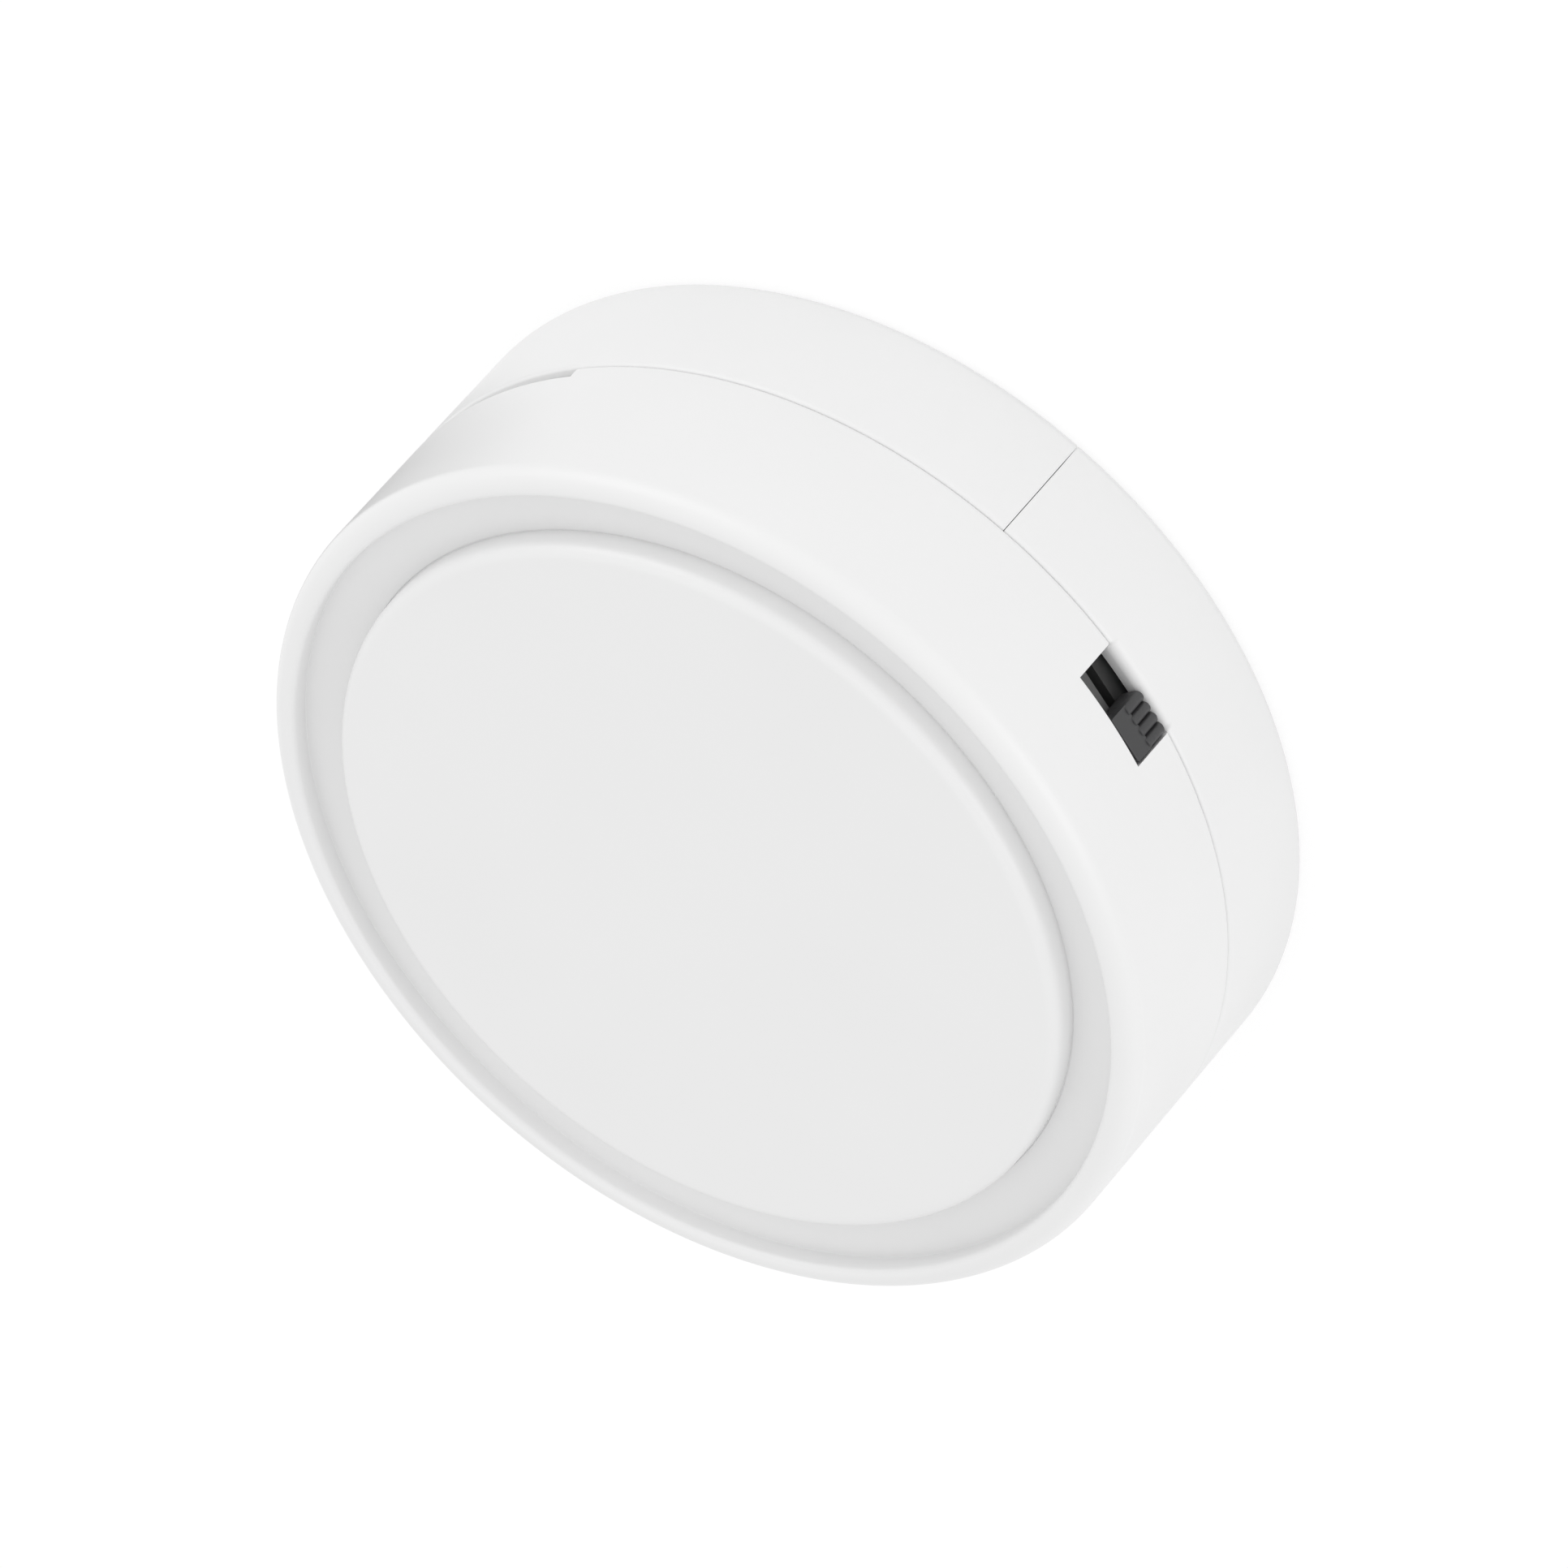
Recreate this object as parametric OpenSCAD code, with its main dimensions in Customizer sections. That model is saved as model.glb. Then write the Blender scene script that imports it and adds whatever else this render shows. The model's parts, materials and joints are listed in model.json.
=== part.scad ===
// Round vibration sensor tag: a white moulded puck with a press disc in its front, a slide switch in its side
// and a coin cell behind the sliding half of its rear. It lies on its rear face, Z runs out of the front and
// X points at the middle of the battery door. Lengths are in millimetres, angles in degrees about Z from X.

/* [Housing] */
// Outer diameter of the housing
body_d = 40; // [38:0.5:48]
// Depth of the front shell, from its rear edge to the crest of the rim
front_h = 7.6; // [7.3:0.1:10]
// Thickness of the side walls
wall_t = 1.3; // [1.2:0.05:1.6]
// Thickness of the rear floor
floor_t = 1; // [0.8:0.05:1.5]
// Fillet round the rear edge
rear_r = 0.6; // [0.3:0.05:1]
// Gap that shows along the parting lines
seam_gap = 0.05; // [0.04:0.01:0.12]
// Thickness of the outer lip on the rear walls, in front of the front shell's tongue
lip_t = 0.65; // [0.55:0.05:0.75]
// How far the tongue of the front shell hangs behind that lip
tongue_h = 0.5; // [0.3:0.05:0.55]
// Clearance between the tongue and the rear walls
tongue_clear = 0.1; // [0.06:0.02:0.14]
// Angle by which the fixed half's laps reach behind the door's wall
lap_angle = 4; // [2:0.5:6]
// Thickness of the laps
lap_t = 0.45; // [0.35:0.05:0.6]
// Clearance between the laps and the door's wall
lap_clear = 0.15; // [0.1:0.05:0.25]

/* [Rim, groove and pry slot] */
// Width of the rim's crest, from the outer wall to the groove
rim_land = 1.15; // [0.9:0.05:1.5]
// Round on the inner edge of the rim
rim_inner_r = 0.3; // [0.15:0.05:0.4]
// Width of the groove between the rim and the button
groove_w = 2.2; // [1.8:0.05:2.8]
// Depth of the groove beside the button, below the rim's crest
groove_depth = 1; // [0.8:0.05:1.3]
// How far the groove's floor rises towards the rim
groove_rise = 0.15; // [0.05:0.05:0.4]
// Thickness of the groove's floor beside the button
front_t = 0.9; // [0.8:0.05:1.2]
// Angle that the pry slot in the front shell's rear edge covers
pry_angle = 64; // [40:1:80]
// Height of the pry slot
pry_h = 0.6; // [0.4:0.05:0.8]

/* [Front button] */
// How far the button stands proud of the rim
button_proud = 0.2; // [0:0.05:0.5]
// Round on the button's edge
button_edge_r = 0.55; // [0.2:0.05:0.8]
// Thickness of the button's plate
button_t = 1.4; // [1:0.1:1.6]
// Thickness of the button's skirt
skirt_t = 1; // [0.8:0.05:1.4]
// Gap round the button
button_clear = 0.05; // [0.04:0.01:0.1]
// How far the retaining flange reaches past the skirt
flange_w = 0.9; // [0.6:0.05:1]
// Thickness of the retaining flange
flange_t = 0.7; // [0.5:0.05:0.9]
// Gap between the flange and the groove's floor above it
flange_clear = 0.1; // [0.05:0.05:0.2]
// Travel of the button
button_travel = 0.25; // [0.15:0.05:0.35]
// Diameter of the stem under the button
stem_d = 4.4; // [3.6:0.1:6]
// Gap between the stem and the tact switch
stem_clear = 0.05; // [0.02:0.01:0.1]
// Number of stiffening ribs under the button
button_ribs = 6; // [4:1:8]
// Height of the ribs
button_rib_h = 0.8; // [0.5:0.1:1]
// Thickness of the ribs
button_rib_t = 0.9; // [0.7:0.1:1.2]
// Number of keys that stop the button turning
button_keys = 3; // [2:1:4]
// Width of a key
key_w = 1.2; // [0.8:0.1:1.6]
// Clearance at the sides of a key
key_clear = 0.2; // [0.1:0.05:0.3]

/* [Slide switch] */
// Direction in which the switch faces
switch_angle = 246.3; // [240:0.1:252]
// Length of the switch
switch_l = 7.2; // [7:0.1:7.6]
// How far the switch's face stands behind the housing's surface
switch_inset = 1.1; // [1:0.05:1.3]
// Depth of the switch behind its face
switch_depth = 3.4; // [3:0.1:4]
// Height of the switch above the board
switch_h = 2.4; // [2.2:0.1:2.8]
// Clearance between the switch and its pocket in the wall
switch_clear = 0.2; // [0.1:0.05:0.25]
// Thickness of the steel frame
frame_t = 0.25; // [0.2:0.05:0.3]
// Thickness of the switch's front wall
face_t = 0.5; // [0.4:0.05:0.6]
// Length of the toe that hangs from the switch over the board's edge
toe_l = 4.8; // [4:0.1:5]
// Thickness of the toe
toe_t = 0.45; // [0.3:0.05:0.5]
// How far the toe hangs
toe_h = 0.5; // [0.3:0.05:0.7]
// Length of the knob
knob_l = 2.1; // [1.8:0.05:2.2]
// Height of the knob
knob_h = 1.2; // [1:0.05:1.4]
// Travel of the knob
knob_travel = 2.1; // [1.6:0.05:2.2]
// Height of the neck that joins the knob to its slider
neck_h = 0.5; // [0.4:0.05:0.6]
// How much shorter the neck is than the knob, at each end
neck_inset = 0.3; // [0.2:0.05:0.5]
// How far the knob's ridges stay inside the wall's surface
knob_inset = 0.02; // [0.02:0.01:0.2]
// Number of ridges on the knob
ridge_count = 4; // [3:1:5]
// Depth of the grooves between the ridges
ridge_depth = 0.25; // [0.15:0.05:0.35]
// Thickness of the slider plate inside the switch
slider_t = 0.6; // [0.4:0.05:0.8]
// How far the slider plate reaches above and below the slot
slider_lap = 0.2; // [0.1:0.05:0.25]
// Clearance of the knob and its slider in the switch
slider_clear = 0.1; // [0.06:0.01:0.12]
// Clearance beyond the knob at each end of the side opening
opening_end_clear = 0.08; // [0.06:0.02:0.3]
// Clearance between the knob and the rear shell's edge
opening_low_clear = 0.15; // [0.1:0.05:0.2]
// Height of the side opening above the front shell's rear edge
opening_h = 2.35; // [1.8:0.05:2.6]
// Width of a terminal
terminal_w = 0.7; // [0.5:0.05:0.9]
// Length of a terminal
terminal_l = 1.2; // [0.8:0.1:1.5]

/* [Board and its parts] */
// Thickness of the board
board_t = 0.8; // [0.6:0.1:1]
// Gap between the board's rim and the laps
board_clear = 0.4; // [0.25:0.05:0.6]
// Side of the tact switch
tact_w = 6; // [5.6:0.1:6.4]
// Height of the tact switch's base
tact_base_h = 3.1; // [2.8:0.1:3.3]
// Thickness of the tact switch's cover
tact_cover_t = 0.3; // [0.2:0.05:0.4]
// Height of the tact switch to the top of its plunger
tact_h = 4.3; // [4:0.1:4.5]
// Diameter of the stakes that hold the cover
stake_d = 0.8; // [0.6:0.05:1]
// Diameter of the plunger
plunger_d = 3.4; // [3:0.1:3.8]
// Clearance round the plunger
plunger_clear = 0.1; // [0.06:0.01:0.15]
// Outer diameter of the vibration sensor
sensor_d = 4.2; // [3.8:0.1:4.6]
// Length of the vibration sensor's can
sensor_l = 10; // [9:0.5:11]
// Wall of the vibration sensor's can
sensor_wall = 0.3; // [0.2:0.05:0.4]
// Thickness of the base that closes the can
sensor_base_t = 1; // [0.8:0.1:1.4]
// Mean diameter of the sensor's spring
spring_d = 2.5; // [2.2:0.1:2.7]
// Diameter of the spring's wire
spring_wire = 0.26; // [0.2:0.02:0.3]
// Pitch of the spring
spring_pitch = 0.85; // [0.75:0.05:0.95]
// Turns of the spring
spring_turns = 8; // [6:1:8]
// Diameter of the sensor's centre pin and leads
lead_d = 0.7; // [0.5:0.05:0.9]
// How far the sensor's bent lead stands out of its base
lead_reach = 1.4; // [1.1:0.1:1.8]
// Side of the radio chip
radio_w = 5; // [4:0.5:6]
// Height of the radio chip
radio_h = 0.85; // [0.7:0.05:1]
// Diameter of the mark at the radio chip's first pin
pin_mark_d = 0.6; // [0.4:0.05:0.8]
// Length of the crystal
crystal_l = 3.2; // [2.5:0.1:3.4]
// Width of the crystal
crystal_w = 2.5; // [2:0.1:2.7]
// Height of the crystal
crystal_h = 0.75; // [0.6:0.05:0.9]
// Step round the crystal's lid
crystal_step = 0.25; // [0.15:0.05:0.35]
// Length of the chip antenna
antenna_l = 5; // [4:0.2:5.6]
// Width of the chip antenna
antenna_w = 1.6; // [1.2:0.1:1.8]
// Height of the chip antenna
antenna_h = 1.2; // [0.8:0.1:1.4]
// Length of a chip capacitor
capacitor_l = 1.6; // [1.2:0.1:1.8]
// Width and height of a chip capacitor
capacitor_w = 0.8; // [0.6:0.05:0.9]
// Distance between neighbouring capacitors
capacitor_pitch = 2.4; // [2.2:0.1:2.6]

/* [Coin cell and its holder] */
// Diameter of the coin cell
cell_d = 20; // [19:0.25:20.5]
// Height of the coin cell
cell_h = 3.2; // [2.5:0.1:3.4]
// Thickness of the cell's can and cap
cell_wall = 0.25; // [0.2:0.05:0.3]
// Width of the plastic gasket between can and cap
gasket_w = 0.8; // [0.6:0.05:1]
// Gap between the cell and the door's wall
cell_end_clear = 0.7; // [0.5:0.05:1]
// Clearance round the cell in its holder
cell_clear = 0.15; // [0.1:0.05:0.25]
// Wall of the battery holder
holder_t = 1.15; // [0.9:0.05:1.3]
// Thickness of the positive clip
clip_t = 0.3; // [0.2:0.05:0.35]
// Width of the positive clip
clip_w = 7; // [5:0.5:8]
// Gap between the rear floor and the clip
floor_clear = 0.15; // [0.1:0.05:0.3]
// Thickness of the negative contact
contact_t = 0.15; // [0.1:0.05:0.3]
// Diameter of the negative contact
contact_d = 10; // [7:0.5:12]
// Length of the clip's foot on the board
foot_l = 1.2; // [0.8:0.1:1.6]

/* [Battery door] */
// Width of the rails on the holder
rail_w = 1; // [0.8:0.05:1.2]
// Thickness of the rails
rail_t = 0.6; // [0.5:0.05:0.8]
// Running clearance between the rails and the door's hooks
rail_clear = 0.2; // [0.12:0.02:0.25]
// Thickness of the hooks' walls
hook_t = 1; // [0.8:0.05:1.2]
// Thickness of the hooks' lips
hook_lip_t = 0.6; // [0.5:0.05:0.8]
// Distance that ends of rails and hooks keep from the door's wall
rail_end_clear = 0.8; // [0.5:0.05:1.2]
// Length of the tabs that reach over the fixed half's floor
tab_l = 3; // [2:0.1:4]
// Width of a tab
tab_w = 2.2; // [1.6:0.1:2.6]
// Thickness of a tab
tab_t = 0.7; // [0.5:0.05:0.9]
// Number of grip grooves under the door
grip_count = 4; // [3:1:5]
// Length of a grip groove
grip_l = 9; // [6:0.5:11]
// Width of a grip groove
grip_w = 0.8; // [0.6:0.1:1]
// Depth of a grip groove
grip_depth = 0.3; // [0.2:0.05:0.4]

/* [Screws] */
// Diameter of the screws
screw_d = 2; // [1.6:0.1:2.2]
// Diameter of the screw heads
head_d = 3.6; // [3:0.1:4]
// Height of the screw heads
head_h = 1.2; // [1:0.1:1.4]
// Width of the cross recess in a head
recess_w = 0.6; // [0.4:0.05:0.7]
// Clearance round the screw heads
head_clear = 0.25; // [0.15:0.05:0.35]
// Clearance round the screws
screw_clear = 0.05; // [0.03:0.01:0.1]
// Depth of a case screw's head below the rear face
head_sink = 0.8; // [0.5:0.1:1]
// Diameter of the front shell's bosses
boss_d = 4.2; // [3.8:0.1:4.6]
// Distance from the board's rim to the screws
boss_inset = 1.9; // [1.8:0.1:2.2]
// Thickness of the webs that join the bosses to the wall
web_t = 1.4; // [1:0.1:2]
// Diameter of the rear shell's pillars
pillar_d = 5.6; // [5.4:0.1:6.2]
// Angle between each case screw and the door's far side
case_screw_angle = 38; // [34:1:42]

/* [Hidden] */
$fn = 72;

// overlap that lets a cutter pass a face and a rib root in its wall
pass = 0.2;

// radii of the housing
body_r = body_d / 2;
wall_ir = body_r - wall_t;
lip_ir = body_r - lip_t;
tongue_or = lip_ir - tongue_clear;
lap_or = wall_ir - lap_clear;
lap_ir = lap_or - lap_t;
rim_ir = body_r - rim_land;
button_r = rim_ir - groove_w;
opening_r = button_r + button_clear;
key_r = button_r + flange_w / 2;
board_r = lap_ir - board_clear;
boss_ring_r = board_r - boss_inset;

// heights, from the rear face up
clip_z = floor_t + floor_clear;
cell_z = clip_z + clip_t;
contact_z = cell_z + cell_h;
board_z = contact_z + contact_t;
board_top = board_z + board_t;
knob_z = board_top + (switch_h - knob_h) / 2;
seam_z = knob_z - opening_low_clear;
front_z = seam_z + seam_gap;
rebate_z = seam_z - tongue_h - tongue_clear;
rim_z = front_z + front_h;
button_top = rim_z + button_proud;
groove_z = rim_z - groove_depth;
groove_under_z = groove_z - front_t;
flange_z = groove_under_z - flange_clear - flange_t;
plate_z = button_top - button_t;
boss_top = flange_z - button_travel - 2 * flange_clear;
stem_z = board_top + tact_h + stem_clear;

// coin cell, holder and door rails
cell_r = cell_d / 2;
cell_x = wall_ir - cell_r - cell_end_clear;
holder_ir = cell_r + cell_clear;
holder_or = holder_ir + holder_t;
holder_z = cell_z + clip_t / 6;
holder_x1 = sqrt(pow(wall_ir - rail_end_clear, 2) - pow(holder_or, 2));
holder_pin_d = 0.75 * holder_t;
holder_pin_angle = 120;
rail_y = holder_or + rail_w;
rail_x0 = seam_gap + rail_clear;
rail_x1 = sqrt(pow(wall_ir - rail_end_clear, 2) - pow(rail_y, 2));
hook_y = rail_y + rail_clear;
hook_x0 = rail_x0 + hook_t;
hook_x1 = sqrt(pow(wall_ir - rail_end_clear, 2) - pow(hook_y + hook_t, 2));
hook_lip_z = holder_z + rail_t + rail_clear;
tab_y = hook_y + hook_t + 2 * rail_clear;

// slide switch, seen with its face towards +Y
switch_face = body_r - switch_inset;
base_face = switch_face - frame_t;
switch_base_l = switch_l - 2 * frame_t;
slider_l = switch_base_l - 2 * face_t - knob_travel - 2 * slider_clear;
knob_rest_x = knob_travel / 2;
knob_tip = body_r - knob_inset;
neck_l = knob_l - 2 * neck_inset;
slot_l = neck_l + knob_travel + 2 * slider_clear;
slot_h = neck_h + 2 * slider_clear;
slider_h = slot_h + 2 * slider_lap;
slider_y = base_face - face_t - slider_clear - slider_t;
opening_l = knob_l + knob_travel + 2 * opening_end_clear;

// screws
case_screw_angles = [180 - case_screw_angle, 180 + case_screw_angle];
board_screw_angle = asin((holder_or + head_d / 2 + head_clear) / boss_ring_r);
board_screw_angles = [board_screw_angle, -board_screw_angle];
head_seat_z = head_sink + head_h;
screw_tip_z = boss_top - screw_d / 2;

// places of the parts on the board
radio_x = 0.486 * board_r;
radio_y = 0.249 * board_r;
crystal_y = -0.079 * board_r;
antenna_x = boss_inset + antenna_w / 2 - board_r;
capacitor_row_x = 0.282 * board_r;
capacitor_row_y = -0.26 * board_r;
capacitor_pair_x = 0.723 * board_r;
capacitor_pair_y = 0.09 * board_r;

// vibration sensor, lying along Y on the board
sensor_x = -0.486 * board_r;
sensor_y = -0.181 * board_r;
sensor_z = board_top + sensor_d / 2;

module at_angle(a, r) {
    rotate(a) translate([r, 0]) children();
}

module at_switch() {
    rotate(switch_angle - 90) children();
}

// box that is centred in X and Y and stands on z = 0
module block(size) {
    translate([-size[0] / 2, -size[1] / 2]) cube(size);
}

// corner piece between two straight edges along +X and +Y and a quarter round of radius r
module corner_round(r) {
    difference() {
        square(r);
        translate([r, r]) circle(r);
    }
}

// ring sector with a rectangular section
module ring_sector(r0, r1, z0, z1, angle) {
    rotate(-angle / 2)
        rotate_extrude(angle = angle)
            translate([r0, z0]) square([r1 - r0, z1 - z0]);
}

// section of the front shell: wall, rounded rim, sloping groove floor and seam tongue
module front_section() {
    difference() {
        union() {
            translate([wall_ir, front_z]) square([wall_t, rim_z - front_z]);
            translate([opening_r, groove_under_z])
                square([body_r - opening_r - rim_inner_r, rim_z - groove_under_z]);
            translate([wall_ir, seam_z - tongue_h])
                square([tongue_or - wall_ir, tongue_h + seam_gap + pass]);
        }
        polygon([[opening_r - pass, groove_z], [opening_r, groove_z], [rim_ir, groove_z + groove_rise],
            [rim_ir, rim_z + pass], [opening_r - pass, rim_z + pass]]);
        translate([body_r, rim_z]) rotate(180) corner_round(rim_land - rim_inner_r);
        translate([rim_ir, rim_z]) rotate(-90) corner_round(rim_inner_r);
    }
}

module front_shell() color("white") {
    difference() {
        union() {
            rotate_extrude() front_section();
            for (a = concat(case_screw_angles, board_screw_angles)) {
                at_angle(a, boss_ring_r) translate([0, 0, board_top])
                    cylinder(d = boss_d, h = boss_top - board_top);
                at_angle(a, boss_ring_r) translate([0, -web_t / 2, front_z])
                    cube([wall_ir + pass - boss_ring_r, web_t, boss_top - front_z]);
            }
            for (i = [0:button_keys - 1])
                at_angle(90 + i * 360 / button_keys, 0)
                    translate([key_r, -key_w / 2, boss_top])
                        cube([wall_ir + pass - key_r, key_w, groove_under_z + pass - boss_top]);
        }
        for (a = concat(case_screw_angles, board_screw_angles))
            at_angle(a, boss_ring_r) translate([0, 0, board_top - pass])
                cylinder(d = screw_d + 2 * screw_clear, h = screw_tip_z + pass + screw_clear - board_top);
        at_switch() {
            translate([-opening_l / 2, 0, seam_z - tongue_h - pass])
                cube([opening_l, body_r + pass, front_z + opening_h - seam_z + tongue_h + pass]);
            translate([-switch_l / 2 - switch_clear, 0, seam_z - tongue_h - pass])
                cube([switch_l + 2 * switch_clear, switch_face + switch_clear,
                    board_top + switch_h + switch_clear - seam_z + tongue_h + pass]);
        }
        ring_sector(lip_ir, body_r + pass, front_z - pass, front_z + pry_h, pry_angle);
    }
}

module front_button() color("white") {
    difference() {
        union() {
            rotate_extrude() difference() {
                union() {
                    translate([0, plate_z]) square([button_r, button_t]);
                    translate([button_r - skirt_t, flange_z]) square([skirt_t, button_top - flange_z]);
                    translate([button_r - skirt_t, flange_z]) square([skirt_t + flange_w, flange_t]);
                }
                translate([button_r, button_top]) rotate(180) corner_round(button_edge_r);
            }
            translate([0, 0, stem_z]) cylinder(d = stem_d, h = plate_z + pass - stem_z);
            for (i = [0:button_ribs - 1])
                rotate(i * 360 / button_ribs)
                    translate([0, -button_rib_t / 2, plate_z - button_rib_h])
                        cube([button_r - skirt_t / 2, button_rib_t, button_rib_h + pass]);
        }
        for (i = [0:button_keys - 1])
            at_angle(90 + i * 360 / button_keys, key_r - key_clear)
                translate([0, -key_w / 2 - key_clear, flange_z - pass])
                    cube([flange_w, key_w + 2 * key_clear, flange_t + 2 * pass]);
    }
}

// section of the rear cup that both rear halves share
module rear_section() {
    difference() {
        union() {
            square([body_r, floor_t]);
            translate([wall_ir, 0]) square([wall_t, seam_z]);
            translate([wall_ir, floor_t]) rotate(90) corner_round(rear_r);
        }
        translate([body_r, 0]) rotate(90) corner_round(rear_r);
        translate([wall_ir - pass, rebate_z]) square([lip_ir - wall_ir + pass, seam_z - rebate_z + pass]);
    }
}

// half of the rear cup on the +X side of the split
module rear_half() {
    intersection() {
        rotate_extrude() rear_section();
        translate([seam_gap / 2, -body_r - pass, -pass])
            cube([body_r + 2 * pass, 2 * body_r + 2 * pass, seam_z + 2 * pass]);
    }
}

// lap behind the split on the +Y side, rooted in the fixed half's wall
module split_lap() {
    lap_top = rebate_z - pass;
    rotate(90) {
        ring_sector(lap_ir, lap_or, clip_z, lap_top, 2 * lap_angle);
        rotate(lap_angle) ring_sector(lap_ir, wall_ir + pass, floor_t - pass, lap_top, lap_angle);
    }
}

module rear_shell() color("white") {
    difference() {
        union() {
            rotate(180) rear_half();
            split_lap();
            mirror([0, 1, 0]) split_lap();
            for (a = case_screw_angles)
                at_angle(a, boss_ring_r) cylinder(d = pillar_d, h = board_z);
        }
        for (a = case_screw_angles)
            at_angle(a, boss_ring_r) {
                translate([0, 0, -pass]) cylinder(d = head_d + 2 * head_clear, h = head_seat_z + pass);
                translate([0, 0, -pass]) cylinder(d = screw_d + 2 * screw_clear, h = board_z + 2 * pass);
            }
    }
}

// hook that runs along the rail on the +Y side, and the tab beside it
module door_hook_and_tab() {
    translate([hook_x0, hook_y, floor_t - pass])
        cube([hook_x1 - hook_x0, hook_t, hook_lip_z + hook_lip_t - floor_t + pass]);
    translate([hook_x0, hook_y - rail_w, hook_lip_z])
        cube([hook_x1 - hook_x0, rail_w + pass, hook_lip_t]);
    translate([-tab_l, tab_y, clip_z]) cube([tab_l + 2 * tab_t, tab_w, tab_t]);
    translate([seam_gap / 2, tab_y, floor_t - pass])
        cube([2 * tab_t - seam_gap / 2, tab_w, floor_clear + 2 * pass]);
}

module battery_door() color("white") {
    difference() {
        union() {
            rear_half();
            door_hook_and_tab();
            mirror([0, 1, 0]) door_hook_and_tab();
        }
        for (i = [0:grip_count - 1])
            translate([body_r / 2 + 2 * grip_w * i, -grip_l / 2, -pass])
                cube([grip_w, grip_l, grip_depth + pass]);
    }
}

module main_board() color("darkgreen") {
    difference() {
        translate([0, 0, board_z]) cylinder(r = board_r, h = board_t);
        for (a = concat(case_screw_angles, board_screw_angles))
            at_angle(a, boss_ring_r) translate([0, 0, board_z - pass])
                cylinder(d = screw_d + 4 * screw_clear, h = board_t + 2 * pass);
        at_holder_pins() translate([0, 0, board_z - pass])
            cylinder(d = holder_pin_d + 2 * screw_clear, h = board_t + 2 * pass);
    }
}

module slide_switch_base() color("black") {
    base_h = switch_h - frame_t;
    knob_mid = switch_h / 2;
    cavity_h = slider_h + 2 * slider_clear;
    at_switch() translate([0, 0, board_top]) difference() {
        union() {
            translate([-switch_base_l / 2, switch_face - switch_depth])
                cube([switch_base_l, switch_depth - frame_t, base_h]);
            translate([-toe_l / 2, board_r + slider_clear, -toe_h]) cube([toe_l, toe_t, toe_h + pass]);
        }
        translate([-slot_l / 2, base_face - face_t - pass, knob_mid - slot_h / 2])
            cube([slot_l, face_t + 2 * pass, slot_h]);
        translate([face_t - switch_base_l / 2, slider_y - slider_clear, knob_mid - cavity_h / 2])
            cube([switch_base_l - 2 * face_t, slider_t + 2 * slider_clear, cavity_h]);
    }
}

// steel cover over the top and both ends, with a front lip that ends above the slot
module slide_switch_frame() color("silver") {
    frame_lip_h = (switch_h - slot_h) / 2;
    at_switch() translate([0, switch_face - switch_depth, board_top]) {
        translate([-switch_l / 2, 0, switch_h - frame_t]) cube([switch_l, switch_depth, frame_t]);
        translate([-switch_l / 2, switch_depth - frame_t, switch_h - frame_lip_h])
            cube([switch_l, frame_t, frame_lip_h]);
        for (side = [0, 1])
            mirror([side, 0]) translate([switch_base_l / 2, 0]) cube([frame_t, switch_depth, switch_h]);
    }
}

// ridged finger piece, its neck and the slider plate that carries it
module slide_switch_knob() color([0.28, 0.28, 0.29]) {
    ridge_pitch = knob_l / ridge_count;
    back_y = switch_face + slider_clear;
    at_switch() translate([knob_rest_x, 0, board_top + switch_h / 2]) {
        translate([-slider_l / 2, slider_y, -slider_h / 2]) cube([slider_l, slider_t, slider_h]);
        translate([-neck_l / 2, slider_y, -neck_h / 2]) cube([neck_l, back_y + pass - slider_y, neck_h]);
        translate([-knob_l / 2, back_y, -knob_h / 2])
            cube([knob_l, knob_tip - ridge_depth - back_y, knob_h]);
        for (i = [0:ridge_count - 1])
            translate([(i + 0.5) * ridge_pitch - knob_l / 2, knob_tip - ridge_depth, -knob_h / 2])
                intersection() {
                    scale(ridge_depth) cylinder(r = 1, h = knob_h / ridge_depth);
                    translate([-ridge_pitch / 2, -pass, 0]) cube([ridge_pitch, ridge_depth + pass, knob_h]);
                }
    }
}

module slide_switch_terminals() color("gold") {
    at_switch()
        for (i = [-1:1])
            translate([i * knob_travel - terminal_w / 2, switch_face - switch_depth - terminal_l, board_top])
                cube([terminal_w, terminal_l, frame_t]);
}

module tact_switch_base() color("black") {
    translate([0, 0, board_top]) difference() {
        block([tact_w, tact_w, tact_base_h]);
        translate([0, 0, tact_base_h / 2]) cylinder(d = plunger_d + 2 * plunger_clear, h = tact_base_h);
    }
}

module tact_switch_cover() color("silver") {
    stake_at = tact_w / 2 - stake_d;
    translate([0, 0, board_top + tact_base_h]) difference() {
        union() {
            block([tact_w, tact_w, tact_cover_t]);
            for (x = [-1, 1], y = [-1, 1])
                translate([x * stake_at, y * stake_at]) cylinder(d = stake_d, h = 2 * tact_cover_t);
        }
        translate([0, 0, -pass]) cylinder(d = plunger_d + 2 * plunger_clear, h = tact_cover_t + 2 * pass);
    }
}

module tact_switch_plunger() color("black") {
    plunger_z = tact_base_h / 2 + 2 * button_travel;
    translate([0, 0, board_top + plunger_z]) cylinder(d = plunger_d, h = tact_h - plunger_z);
}

// places a shape that is drawn along +Z so that it lies along the sensor's axis, from its open end
module along_sensor() {
    translate([sensor_x, sensor_y, sensor_z]) rotate([-90, 0, 0]) children();
}

module vibration_sensor_case() color("silver") {
    along_sensor() difference() {
        cylinder(d = sensor_d, h = sensor_l);
        translate([0, 0, -pass]) cylinder(d = sensor_d - 2 * sensor_wall, h = sensor_l - sensor_wall + pass);
    }
}

module vibration_sensor_base() color("black") {
    along_sensor() difference() {
        cylinder(d = sensor_d - 2 * sensor_wall, h = sensor_base_t);
        translate([0, 0, -pass]) cylinder(d = lead_d, h = sensor_base_t + 2 * pass);
    }
}

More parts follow.
